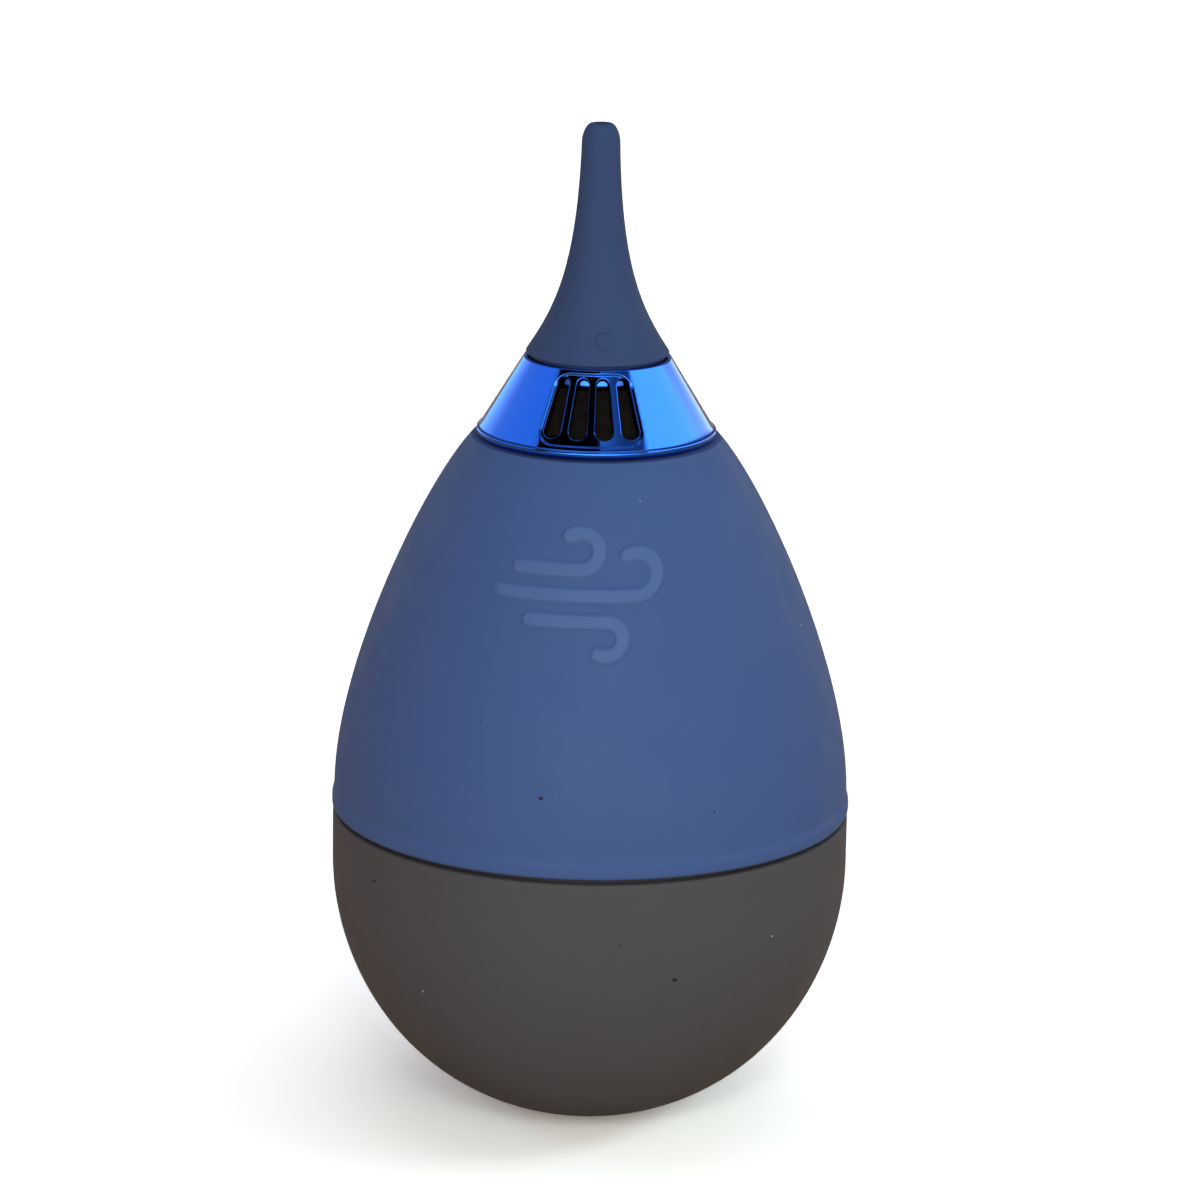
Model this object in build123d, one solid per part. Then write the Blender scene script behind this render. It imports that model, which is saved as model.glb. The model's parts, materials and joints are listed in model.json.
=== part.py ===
"""Self-righting squeeze-bulb air blower, modelled as separate pieces.

Frame: millimetres, +Z up through the nozzle, origin on the ground under the middle of the foot, vents facing -Y.
Heights are measured from the ground. Outlines lie in the XZ plane as (radius, height) pairs and are revolved.
"""

import os
from math import atan2, cos, degrees, hypot, radians, sin, tan

from build123d import *

# ---------------------------------------------------------------- body
body_radius = 33.0  # the lip above the seam, the blower's widest point
seam_height = 39.5  # parting line between bulb and base
seam_gap = 0.55  # visible line between the bulb and the base's skin

# ---------------------------------------------------------------- base
base_setback = 0.1  # how far the base's side lies inside the bulb's lip
upright_band = 6.7  # upright part of the side below the seam
base_side_pull = 16.2  # handle of the outline's curve below that band
base_floor_pull = 21.0  # handle of the outline's curve along the floor
foot_depth = 0.6  # how much of the round bottom the flat foot cuts away
skin_wall = 2.0
shell_wall = 1.6
rim_setback = 0.7  # how far the shell's rim lies inside the skin
skin_edge_fillet = 0.4
pad_thickness = 1.0
pad_margin = 1.0  # how far the pad ends inside the weight's edge
ballast_drop = 3.15  # how much lower the weight's top is than its radius
ballast_chamfer = 1.2
ballast_clearance = 1.5  # between the weight and the screw posts

# ---------------------------------------------------------------- bulb
lip_proud = 0.28  # how far the lip stands out of the bulb's side
lip_height = 2.5
lip_land = 1.2  # upright part of the lip
lip_edge_fillet = 0.5
bulb_side_pull = 14.8  # handle of the outline's curve above the lip
bulb_neck_pull = 9.0  # handle of the outline's curve below the collar
bulb_neck_slope = 41.9  # degrees from upright where the bulb meets the collar
bulb_wall = 2.5
skirt_wall = 2.1
skirt_length = 5.0
skirt_bead = 1.1  # inward bead that hooks over the chamber floor's barrel
bead_height = 1.8
barrel_rise = 0.35  # chamber floor's barrel above the bulb's lip

# ---------------------------------------------------------------- chamber floor and its screws
floor_thickness = 1.6
barrel_wall = 1.5
seal_radius = 0.7  # cord radius of the O-ring
screw_count = 3
screw_shank_radius = 1.5
screw_head_radius = 2.8
screw_head_height = 1.7
screw_length = 8.0
screw_recess = 1.1  # half the length of the cross recess
screw_head_clearance = 0.4
post_wall = 1.6

# ---------------------------------------------------------------- collar
collar_height = 88.2  # bottom edge of the collar
collar_radius = 15.7  # over the band
collar_rise = 10.1
collar_gap = 0.2  # between the collar and the soft pieces below and above it
collar_top_radius = 9.2
collar_wall = 1.1
band_height = 1.1  # rounded band round the bottom edge
band_proud = 0.2
band_fillet = 0.15
rim_width = 0.75
rim_height = 0.45
deck_thickness = 1.95  # plate that the nozzle stands on
pocket_depth = 0.22
pocket_half_angle = 27.8
pocket_lower = 1.55  # pocket's lower edge above the collar's bottom edge
pocket_drop = 0.5  # pocket's upper edge below the collar's top edge
pocket_corner = 2.0
vent_count = 4
vent_pitch = 14.4  # degrees round the axis
vent_lower = 2.35  # lower end of a vent above the collar's bottom edge
vent_drop = 0.9  # upper end of a vent below the collar's top edge
vent_lower_radius = 1.15
vent_upper_radius = 0.8
vent_depth = 1.5

# ---------------------------------------------------------------- valve base, neck nut and inlet valve
plate_thickness = 1.6
neck_barrel_wall = 1.4
neck_nut_height = 2.5
neck_nut_width = 3.0
nut_notch_count = 6
nut_notch_radius = 1.0
hub_wall = 1.5
outlet_bore_radius = 2.4
port_count = 8
port_radius = 1.0
port_margin = 0.2  # between the boss and the ports
flap_land = 0.5  # between the ports and the barrel
flap_thickness = 0.6
flap_travel = 0.9
keeper_thickness = 1.0
keeper_width = 1.5
boss_wall = 0.8
boss_height = 1.5

# ---------------------------------------------------------------- outlet housing and valve
seat_land = 0.9  # how far the disc covers its seat round the bore
disc_thickness = 0.8
disc_travel = 1.2
disc_clearance = 0.4
chamber_wall = 1.2
relief_count = 4  # grooves that let air past the lifted disc
relief_width = 1.0
relief_depth = 0.4
spigot_radius = 2.8
spigot_bore_radius = 1.5
spigot_length = 6.9  # above the collar's deck
spigot_chamfer = 0.4

# ---------------------------------------------------------------- filter and its cage
filter_gap = 0.3
filter_thickness = 1.6
cage_wall = 1.0
cage_foot = 0.6
cage_top_ring = 0.8
cage_window_count = 8
cage_window_width = 3.2

# ---------------------------------------------------------------- nozzle
nozzle_height = 29.3  # from the collar's top edge to the tip
nozzle_foot_setback = 0.25  # how far the nozzle's foot lies inside the collar's top edge
nozzle_foot_wall = 1.75  # soft ring round the core's flange
nozzle_foot_lift = 0.65  # widest point above the collar's top edge
nozzle_foot_round = 0.3  # handle of the curve round the foot's lower edge
nozzle_stem_radius = 2.4
nozzle_stem_drop = 2.2  # where the stem ends below the tip
nozzle_tip_round = 0.9  # handle of the curve round the tip's shoulder
nozzle_tip_land = 0.15  # flat round the mouth
nozzle_foot_pull_in = 3.28  # flare's lower handle, towards the axis
nozzle_foot_pull_up = 5.0
nozzle_stem_pull_out = 0.4  # flare's upper handle, away from the axis
nozzle_stem_pull_down = 16.3
nozzle_bore_radius = 1.5
tip_bore_radius = 1.1
tip_bore_length = 8.0
pip_radius = 1.1  # index pip on the nozzle's foot
pip_proud = 0.3
pip_height = 2.55  # above the nozzle's foot
pip_angle = 9.0  # round the axis, from the front
insert_wall = 0.95
insert_roof = 1.6
insert_flange_height = 1.6

# ---------------------------------------------------------------- clearances
seated = 0.05  # pieces that seat on each other
slip = 0.1  # pieces that push into each other
moving = 0.3  # curved faces on pieces that move apart

# ---------------------------------------------------------------- what follows from them
collar_top = collar_height + collar_rise
collar_run = collar_radius - band_proud - collar_top_radius
cone_angle = atan2(collar_run, collar_rise)
tip_height = collar_top + nozzle_height
bulb_top = collar_height - collar_gap
lip_underside = bulb_top - bulb_wall
deck_top = collar_top - rim_height
deck_underside = deck_top - deck_thickness
skin_top = seam_height - seam_gap / 2
lip_bottom = seam_height + seam_gap / 2
base_radius = body_radius - base_setback
shell_inset = skin_wall + seated
cavity_inset = shell_inset + shell_wall
shell_bore = base_radius - cavity_inset
skirt_outer = shell_bore - slip
skirt_inner = skirt_outer - skirt_wall
skirt_bottom = seam_height - skirt_length
barrel_radius = skirt_inner - slip
barrel_top = lip_bottom + barrel_rise
barrel_bore = barrel_radius - barrel_wall
floor_top = skirt_bottom - seated
flange_thickness = 2 * seal_radius + floor_thickness
floor_underside = floor_top - flange_thickness
post_top = floor_underside - seated
post_radius = screw_shank_radius + post_wall
screw_circle = barrel_bore - screw_head_radius - screw_head_clearance
ballast_radius = screw_circle - post_radius - ballast_clearance
ballast_top = ballast_radius - ballast_drop
plate_bottom = bulb_top + seated
plate_top = plate_bottom + plate_thickness
disc_radius = outlet_bore_radius + seat_land
chamber_radius = disc_radius + disc_clearance
housing_radius = chamber_radius + chamber_wall
boss_radius = housing_radius + slip + boss_wall
port_circle = boss_radius + port_margin + port_radius
neck_bore = port_circle + port_radius + flap_land
neck_barrel_radius = neck_bore + neck_barrel_wall
neck_hole_radius = neck_barrel_radius + slip
neck_barrel_bottom = lip_underside - neck_nut_height - seated
hub_radius = outlet_bore_radius + hub_wall
flap_top = plate_bottom - seated
keeper_top = flap_top - flap_thickness - flap_travel - seated
hub_bottom = keeper_top - keeper_thickness
housing_bottom = plate_top + seated
disc_bottom = plate_top + seated
chamber_top = disc_bottom + disc_thickness + disc_travel + disc_clearance
spigot_top = deck_top + spigot_length
nozzle_bottom = deck_top + seated
nozzle_foot_radius = collar_top_radius - nozzle_foot_setback
nozzle_register = collar_top_radius - rim_width - slip
insert_flange_radius = nozzle_register - nozzle_foot_wall
nozzle_foot = collar_top + nozzle_foot_lift
stem_top = tip_height - nozzle_stem_drop
socket_radius = spigot_radius + slip
socket_top = spigot_top + slip
insert_top = socket_top + insert_roof
insert_neck_radius = socket_radius + insert_wall

base_outline = [
    (0, -foot_depth),
    (base_floor_pull, -foot_depth),
    (base_radius, seam_height - upright_band - base_side_pull),
    (base_radius, seam_height - upright_band),
]
bulb_side = body_radius - lip_proud
bulb_side_bottom = lip_bottom + lip_height
bulb_outline = [
    (bulb_side, bulb_side_bottom),
    (bulb_side, bulb_side_bottom + bulb_side_pull),
    (
        collar_radius + bulb_neck_pull * sin(radians(bulb_neck_slope)),
        bulb_top - bulb_neck_pull * cos(radians(bulb_neck_slope)),
    ),
    (collar_radius, bulb_top),
]
nozzle_outline = [
    (nozzle_foot_radius, nozzle_foot),
    (nozzle_foot_radius - nozzle_foot_pull_in, nozzle_foot + nozzle_foot_pull_up),
    (nozzle_stem_radius + nozzle_stem_pull_out, stem_top - nozzle_stem_pull_down),
    (nozzle_stem_radius, stem_top),
]


# ---------------------------------------------------------------- shared shapes
def curve_point(outline, t):
    """Point at t, from 0 to 1, on the curve with these four control points."""
    weights = ((1 - t) ** 3, 3 * (1 - t) ** 2 * t, 3 * (1 - t) * t**2, t**3)
    return tuple(sum(w * p[axis] for w, p in zip(weights, outline)) for axis in (0, 1))


def curve_direction(outline, t):
    """Unit direction of travel at t on the curve with these four control points."""
    weights = ((1 - t) ** 2, 2 * (1 - t) * t, t**2)
    steps = [(b[0] - a[0], b[1] - a[1]) for a, b in zip(outline, outline[1:])]
    run = sum(w * step[0] for w, step in zip(weights, steps))
    rise = sum(w * step[1] for w, step in zip(weights, steps))
    return run / hypot(run, rise), rise / hypot(run, rise)


def inner_point(outline, inset, t):
    """Point at t, moved in from the outline at right angles to it."""
    radius, height = curve_point(outline, t)
    run, rise = curve_direction(outline, t)
    return radius - inset * rise, height + inset * run


def inner_curve(outline, inset, start=0.0, end=1.0, spans=6):
    """Smooth edge that runs a constant distance inside the outline, over a share of its length."""
    shares = [start + (end - start) * i / spans for i in range(spans + 1)]
    points = [inner_point(outline, inset, t) for t in shares]
    ends = [curve_direction(outline, start), curve_direction(outline, end)]
    return Spline(*points, tangents=ends)


def share_at(outline, height, inset=0.0):
    """Where an outline that climbs all the way, or the curve inside it, reaches a height."""
    low, high = 0.0, 1.0
    for _ in range(40):
        middle = (low + high) / 2
        if inner_point(outline, inset, middle)[1] < height:
            low = middle
        else:
            high = middle
    return low


def radius_at(outline, height, inset=0.0):
    """Radius of such an outline, or of the curve inside it, at a height."""
    return inner_point(outline, inset, share_at(outline, height, inset))[0]


def revolved(*edges):
    """Solid of revolution about Z from a closed outline of edges."""
    return revolve(Plane.XZ * make_face(edges), Axis.Z)


def turned(*points):
    """Solid of revolution about Z from straight-sided outline corners."""
    return revolved(Polyline(*points, close=True))


def ring(inner, outer, bottom, top):
    """Plain ring or, with no inner radius, a disc."""
    return turned((inner, bottom), (outer, bottom), (outer, top), (inner, top))


def circles_at(solid, radius, height):
    """Circular edges of this radius at this height."""
    circles = solid.edges().filter_by(GeomType.CIRCLE)
    near = 0.001
    return [e for e in circles if abs(e.radius - radius) < near and abs(e.center().Z - height) < near]


def around(count, piece, start=0.0):
    """Copies of a piece spaced evenly about Z."""
    return [Rot(Z=start + 360 * i / count) * piece for i in range(count)]


def base_core(inset, top):
    """Everything inside the base's outline, moved in by an inset, up to a height."""
    start = inner_point(base_outline, inset, 0)
    side = inner_point(base_outline, inset, 1)
    corner = (side[0], top)
    walls = Polyline(side, corner, (0, top), start)
    return revolved(inner_curve(base_outline, inset), walls)


# ---------------------------------------------------------------- base pieces
def base_skin():
    """Soft cup over the base, with the flat foot."""
    below_ground = Pos(0, 0, -foot_depth) * Cylinder(base_radius, 2 * foot_depth)
    cup = base_core(0, skin_top) - base_core(skin_wall, skin_top + skin_wall) - below_ground
    return fillet(circles_at(cup, base_radius, skin_top), skin_edge_fillet)


def screw_places():
    """Plan positions of the floor screws."""
    return [Rot(Z=90 + 360 * i / screw_count) * Pos(screw_circle, 0, 0) for i in range(screw_count)]


def base_shell():
    """Hard cup inside the skin, with the rim in the seam and posts for the floor screws."""
    rim_top = lip_bottom - seated
    cup = base_core(shell_inset, rim_top) - base_core(cavity_inset, rim_top + shell_wall)
    rim = ring(shell_bore, base_radius - rim_setback, skin_top + seated, rim_top)
    post = Pos(0, 0, post_top / 2) * Cylinder(post_radius, post_top)
    within = base_core(cavity_inset - shell_wall / 2, rim_top)
    posts = [(place * post) & within for place in screw_places()]
    pilot_depth = screw_length - floor_thickness + screw_shank_radius
    pilot = Pos(0, 0, post_top - pilot_depth / 2) * Cylinder(screw_shank_radius + seated, pilot_depth)
    return cup + rim + posts - [place * pilot for place in screw_places()]


def ballast_pad():
    """Adhesive foam pad between the shell and the weight."""
    outer_inset = cavity_inset + seated
    bowl = base_core(outer_inset, ballast_top) - base_core(outer_inset + pad_thickness, 2 * ballast_top)
    return bowl & Cylinder(ballast_radius - pad_margin, 2 * ballast_top)


def ballast():
    """Steel weight with a domed underside that follows the shell."""
    dome = base_core(cavity_inset + pad_thickness + 2 * seated, ballast_top)
    weight = dome & Cylinder(ballast_radius, 2 * ballast_top + 1)
    return chamfer(circles_at(weight, ballast_radius, ballast_top), ballast_chamfer)


# ---------------------------------------------------------------- chamber floor
def seal_circle():
    """Radius of the O-ring's centre line."""
    middle = floor_underside + flange_thickness / 2
    return radius_at(base_outline, middle, cavity_inset) - seated - seal_radius


def chamber_floor():
    """Hard cup that closes the air chamber and grips the bulb's skirt against the shell."""
    flange_radius = radius_at(base_outline, floor_underside, cavity_inset) - slip
    bottom = floor_underside + floor_thickness
    body = turned(
        (0, floor_underside),
        (flange_radius, floor_underside),
        (flange_radius, floor_top),
        (barrel_radius, floor_top),
        (barrel_radius, barrel_top),
        (barrel_bore, barrel_top),
        (barrel_bore, bottom),
        (0, bottom),
    )
    middle = floor_underside + flange_thickness / 2
    half_height = seal_radius + seated
    groove_floor = seal_circle() - seal_radius - seated
    groove = ring(groove_floor, flange_radius + slip, middle - half_height, middle + half_height)
    hole = Pos(0, 0, floor_underside) * Cylinder(screw_shank_radius + slip, 4 * floor_thickness)
    return body - groove - [place * hole for place in screw_places()]


def floor_seal():
    """O-ring between the chamber floor and the shell."""
    return Pos(0, 0, floor_underside + flange_thickness / 2) * Torus(seal_circle(), seal_radius)


def floor_screws():
    """Self-tapping pan-head screws through the chamber floor."""
    under_head = floor_underside + floor_thickness + seated
    head = Pos(0, 0, screw_head_height / 2) * Cylinder(screw_head_radius, screw_head_height)
    head = fillet(circles_at(head, screw_head_radius, screw_head_height), 0.6 * screw_head_height)
    shank = Pos(0, 0, -screw_length / 2) * Cylinder(screw_shank_radius, screw_length)
    shank = chamfer(circles_at(shank, screw_shank_radius, -screw_length), screw_shank_radius / 2)
    slot = Box(2 * screw_recess, screw_recess / 2, screw_head_height)
    cross = Pos(0, 0, screw_head_height) * (slot + Rot(Z=90) * slot)
    screw = head + shank - cross
    return [place * Pos(0, 0, under_head) * screw for place in screw_places()]


# ---------------------------------------------------------------- bulb
def bulb():
    """Soft air bulb: lipped opening at the collar, skirt tucked into the base."""
    outer_side = Bezier(*bulb_outline)
    land_top = lip_bottom + lip_land
    halfway = (land_top + bulb_side_bottom) / 2
    flare = Bezier(
        (body_radius, land_top),
        (body_radius, halfway),
        (bulb_side, halfway),
        (bulb_side, bulb_side_bottom),
    )
    bead_bottom = barrel_top + seated
    bead_top = bead_bottom + bead_height
    web_top = bead_top + skirt_wall
    inner_start = share_at(bulb_outline, web_top + bulb_wall / 2)
    inner_end = share_at(bulb_outline, lip_underside, bulb_wall)
    inner_side = inner_curve(bulb_outline, bulb_wall, inner_start, inner_end)
    walls = Polyline(
        inner_point(bulb_outline, bulb_wall, inner_start),
        (skirt_inner, web_top),
        (skirt_inner - skirt_bead, bead_top),
        (skirt_inner - skirt_bead, bead_bottom),
        (skirt_inner, bead_bottom),
        (skirt_inner, skirt_bottom),
        (skirt_outer, skirt_bottom),
        (skirt_outer, lip_bottom),
        (body_radius, lip_bottom),
        (body_radius, land_top),
    )
    top = Polyline(
        (collar_radius, bulb_top),
        (neck_hole_radius, bulb_top),
        (neck_hole_radius, lip_underside),
        inner_point(bulb_outline, bulb_wall, inner_end),
    )
    body = revolved(walls, flare, outer_side, top, inner_side)
    return fillet(circles_at(body, body_radius, lip_bottom), lip_edge_fillet)


# ---------------------------------------------------------------- head: valve base and inlet
def cone_radius(height, inset=0.0):
    """Radius of the collar's cone at a height, moved in at right angles to its face."""
    return collar_top_radius + (collar_top - height) * tan(cone_angle) - inset / cos(cone_angle)


def valve_base():
    """Hard plate on the bulb's lip: inlet ports, outlet seat, hub and the barrel for the neck nut."""
    plate_radius = cone_radius(plate_top, collar_wall) - moving
    boss_inner = housing_radius + slip
    body = turned(
        (outlet_bore_radius, hub_bottom),
        (hub_radius, hub_bottom),
        (hub_radius, plate_bottom),
        (neck_bore, plate_bottom),
        (neck_bore, neck_barrel_bottom),
        (neck_barrel_radius, neck_barrel_bottom),
        (neck_barrel_radius, plate_bottom),
        (plate_radius, plate_bottom),
        (plate_radius, plate_top),
        (boss_radius, plate_top),
        (boss_radius, plate_top + boss_height),
        (boss_inner, plate_top + boss_height),
        (boss_inner, plate_top),
        (outlet_bore_radius, plate_top),
    )
    port = Pos(port_circle, 0, plate_bottom) * Cylinder(port_radius, 4 * plate_thickness)
    return body - around(port_count, port)


def neck_nut():
    """Ring nut that clamps the bulb's lip from below."""
    inner = neck_barrel_radius + seated
    outer = inner + neck_nut_width
    body = ring(inner, outer, neck_barrel_bottom, lip_underside - seated)
    notch = Pos(outer, 0, neck_barrel_bottom) * Cylinder(nut_notch_radius, neck_nut_height)
    return body - around(nut_notch_count, notch)


def inlet_valve():
    """Soft ring flap that covers the inlet ports from below."""
    return ring(hub_radius + slip, neck_bore - moving, flap_top - flap_thickness, flap_top)


def inlet_keeper():
    """Ring on the hub's end that stops the flap."""
    outer = hub_radius + keeper_width
    collar_ring = ring(hub_radius + seated, outer, hub_bottom, keeper_top)
    return chamfer(circles_at(collar_ring, outer, hub_bottom), keeper_thickness / 3)


# ---------------------------------------------------------------- head: outlet
def outlet_housing():
    """Valve chamber on the plate, narrowing to the spigot that holds the nozzle."""
    neck_bottom = chamber_top + chamber_wall
    body = turned(
        (chamber_radius, housing_bottom),
        (housing_radius, housing_bottom),
        (housing_radius, chamber_top),
        (spigot_radius, neck_bottom),
        (spigot_radius, spigot_top),
        (spigot_bore_radius, spigot_top),
        (spigot_bore_radius, chamber_top),
        (chamber_radius, chamber_top),
    )
    body = chamfer(circles_at(body, spigot_radius, spigot_top), spigot_chamfer)
    relief_reach = chamber_radius + relief_depth
    relief = Pos(relief_reach / 2, 0, chamber_top) * Box(relief_reach, relief_width, 2 * relief_depth)
    return body - around(relief_count, relief)


def outlet_valve():
    """Soft disc that lifts off the outlet seat."""
    disc = ring(0, disc_radius, disc_bottom, disc_bottom + disc_thickness)
    return fillet(circles_at(disc, disc_radius, disc_bottom + disc_thickness), disc_thickness / 4)


# ---------------------------------------------------------------- filter
def cone_band(outer_inset, inner_inset, bottom, top):
    """Conical sleeve parallel to the collar's face."""
    return turned(
        (cone_radius(bottom, outer_inset), bottom),
        (cone_radius(bottom, inner_inset), bottom),
        (cone_radius(top, inner_inset), top),
        (cone_radius(top, outer_inset), top),
    )


def filter_ring():
    """Foam sleeve behind the vents."""
    outer_inset = collar_wall + filter_gap
    bottom = plate_top + cage_foot + 2 * seated
    top = deck_underside - moving
    return cone_band(outer_inset, outer_inset + filter_thickness, bottom, top)


def filter_cage():
    """Windowed cone that stands on the plate and holds the foam off the ports."""
    outer_inset = collar_wall + filter_gap + filter_thickness + seated
    inner_inset = outer_inset + cage_wall
    bottom = plate_top + seated
    top = deck_underside - moving
    sleeve = cone_band(outer_inset, inner_inset, bottom, top)
    foot_radius = cone_radius(bottom + cage_foot, collar_wall) - moving
    foot = ring(cone_radius(bottom, inner_inset), foot_radius, bottom, bottom + cage_foot)
    window_bottom = bottom + 2 * cage_foot
    window_top = top - cage_top_ring
    middle = (window_bottom + window_top) / 2
    window = Pos(collar_radius, 0, middle) * Box(
        2 * (collar_radius - housing_radius), cage_window_width, window_top - window_bottom
    )
    return sleeve + foot - around(cage_window_count, window)


# ---------------------------------------------------------------- collar
def vent_cutter(angle):
    """Tapered slot with round ends, standing at right angles to the cone at an angle from the front."""
    slant = (collar_rise - vent_drop - vent_lower) / cos(cone_angle)
    middle = collar_height + (collar_rise - vent_drop + vent_lower) / 2
    reach = slant / 2
    low = Pos(0, vent_lower_radius - reach) * Circle(vent_lower_radius)
    high = Pos(0, reach - vent_upper_radius) * Circle(vent_upper_radius)
    outline = make_hull(low.edges() + high.edges())
    lean = degrees(cone_angle)
    place = Rot(Z=angle) * Pos(0, -cone_radius(middle), middle) * Rot(X=90 - lean)
    return place * (Pos(0, 0, -vent_depth) * extrude(outline, 2 * vent_depth))


def pocket_cutter():
    """Shallow rounded patch of the cone's skin round the vents."""
    low = collar_height + pocket_lower
    high = collar_top - pocket_drop
    half = radians(pocket_half_angle)
    skin = cone_band(-collar_wall, pocket_depth, collar_height, collar_top)
    ways = ((low, -1), (low, 1), (high, 1), (high, -1))
    corners = [(side * cone_radius(z) * sin(half), z) for z, side in ways]
    face = make_face(Polyline(*corners, close=True))
    patch = fillet(face.vertices(), pocket_corner)
    return skin & extrude(Plane.XZ * patch, 2 * collar_radius)


def collar():
    """Plated conical cover with the vents, and the deck that the nozzle stands on."""
    band_top = collar_height + band_height
    band_edge = cone_radius(band_top) + band_proud
    rim_inner = collar_top_radius - rim_width
    body = turned(
        (cone_radius(collar_height, collar_wall), collar_height),
        (collar_radius, collar_height),
        (band_edge, band_top),
        (cone_radius(band_top), band_top),
        (collar_top_radius, collar_top),
        (rim_inner, collar_top),
        (rim_inner, deck_top),
        (spigot_radius + moving, deck_top),
        (spigot_radius + moving, deck_underside),
        (cone_radius(deck_underside, collar_wall), deck_underside),
    )
    rims = circles_at(body, collar_top_radius, collar_top) + circles_at(body, rim_inner, collar_top)
    body = fillet(rims, rim_width / 3)
    bands = circles_at(body, band_edge, band_top) + circles_at(body, collar_radius, collar_height)
    body = fillet(bands, band_fillet)
    vents = [vent_cutter((i - (vent_count - 1) / 2) * vent_pitch) for i in range(vent_count)]
    return body - pocket_cutter() - vents


# ---------------------------------------------------------------- nozzle
def nozzle_insert():
    """Hard core in the nozzle's foot, with the socket for the spigot."""
    flange_top = nozzle_bottom + insert_flange_height
    return turned(
        (socket_radius, nozzle_bottom),
        (insert_flange_radius, nozzle_bottom),
        (insert_flange_radius, flange_top),
        (insert_neck_radius + insert_wall, flange_top + insert_wall),
        (insert_neck_radius, insert_top),
        (nozzle_bore_radius, insert_top),
        (nozzle_bore_radius, socket_top),
        (socket_radius, socket_top),
    )


def index_pip():
    """Low round bump on the nozzle's foot."""
    height = nozzle_foot + pip_height
    radius = radius_at(nozzle_outline, height)
    ball_radius = (pip_radius**2 + pip_proud**2) / (2 * pip_proud)
    sunk = ball_radius - pip_proud
    lean = atan2(nozzle_foot_pull_in, nozzle_foot_pull_up)
    centre = Pos(0, -radius + sunk * cos(lean), height - sunk * sin(lean))
    return Rot(Z=pip_angle) * centre * Sphere(ball_radius)


def nozzle():
    """Soft flared nozzle over the insert, with the air passage and the index pip."""
    heel_bottom = collar_top + collar_gap
    flare_run, flare_rise = curve_direction(nozzle_outline, 0)
    stem_run, stem_rise = curve_direction(nozzle_outline, 1)
    mouth = tip_bore_radius + nozzle_tip_land
    flange_top = nozzle_bottom + insert_flange_height + seated
    cavity_neck = insert_neck_radius + seated
    foot = Polyline(
        (insert_flange_radius + seated, nozzle_bottom),
        (nozzle_register, nozzle_bottom),
        (nozzle_register, heel_bottom),
    )
    heel = Bezier(
        (nozzle_register, heel_bottom),
        (nozzle_register + nozzle_foot_round, heel_bottom),
        (nozzle_foot_radius - nozzle_foot_round * flare_run, nozzle_foot - nozzle_foot_round * flare_rise),
        (nozzle_foot_radius, nozzle_foot),
    )
    shoulder = Bezier(
        (nozzle_stem_radius, stem_top),
        (nozzle_stem_radius + nozzle_tip_round * stem_run, stem_top + nozzle_tip_round * stem_rise),
        ((nozzle_stem_radius + mouth) / 2, tip_height),
        (mouth, tip_height),
    )
    passage = Polyline(
        (mouth, tip_height),
        (tip_bore_radius, tip_height),
        (tip_bore_radius, tip_height - tip_bore_length),
        (nozzle_bore_radius, tip_height - tip_bore_length - nozzle_bore_radius),
        (nozzle_bore_radius, insert_top + seated),
        (cavity_neck, insert_top + seated),
        (cavity_neck + insert_wall, flange_top + insert_wall),
        (insert_flange_radius + seated, flange_top),
        (insert_flange_radius + seated, nozzle_bottom),
    )
    return revolved(foot, heel, Bezier(*nozzle_outline), shoulder, passage) + (index_pip() & nozzle_blank())


def nozzle_blank():
    """Everything outside the nozzle's core, so that the pip never fills the core's seat."""
    blank = Pos(0, 0, nozzle_foot) * Cylinder(body_radius, 2 * nozzle_height)
    return blank - Pos(0, 0, nozzle_foot) * Cylinder(insert_flange_radius + seated, 2 * nozzle_height)


# ---------------------------------------------------------------- all pieces
pieces = {
    "base_skin": base_skin,
    "base_shell": base_shell,
    "ballast_pad": ballast_pad,
    "ballast": ballast,
    "chamber_floor": chamber_floor,
    "floor_seal": floor_seal,
    "floor_screws": floor_screws,
    "bulb": bulb,
    "valve_base": valve_base,
    "neck_nut": neck_nut,
    "inlet_valve": inlet_valve,
    "inlet_keeper": inlet_keeper,
    "outlet_housing": outlet_housing,
    "outlet_valve": outlet_valve,
    "filter_ring": filter_ring,
    "filter_cage": filter_cage,
    "collar": collar,
    "nozzle_insert": nozzle_insert,
    "nozzle": nozzle,
}

os.makedirs("parts", exist_ok=True)
for name, make in pieces.items():
    made = make()
    solids = made if isinstance(made, list) else made.solids()
    export_step(Compound(children=list(solids)), f"parts/{name}.step")
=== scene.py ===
"""Looks of a self-righting squeeze-bulb air blower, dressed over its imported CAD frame.

Every mesh is in metres in the CAD frame: +Z up through the nozzle, vents facing -Y. Outlines are
worked out in millimetres as (radius, height) pairs, and angles round the axis run from the front
(-Y) towards +X.
"""

import json
import logging
import math
from collections.abc import Callable, Sequence
from dataclasses import dataclass, field
from enum import Enum

import bmesh
import bpy
import numpy as np
from mathutils import Matrix, Vector
from mathutils.geometry import delaunay_2d_cdt


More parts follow.
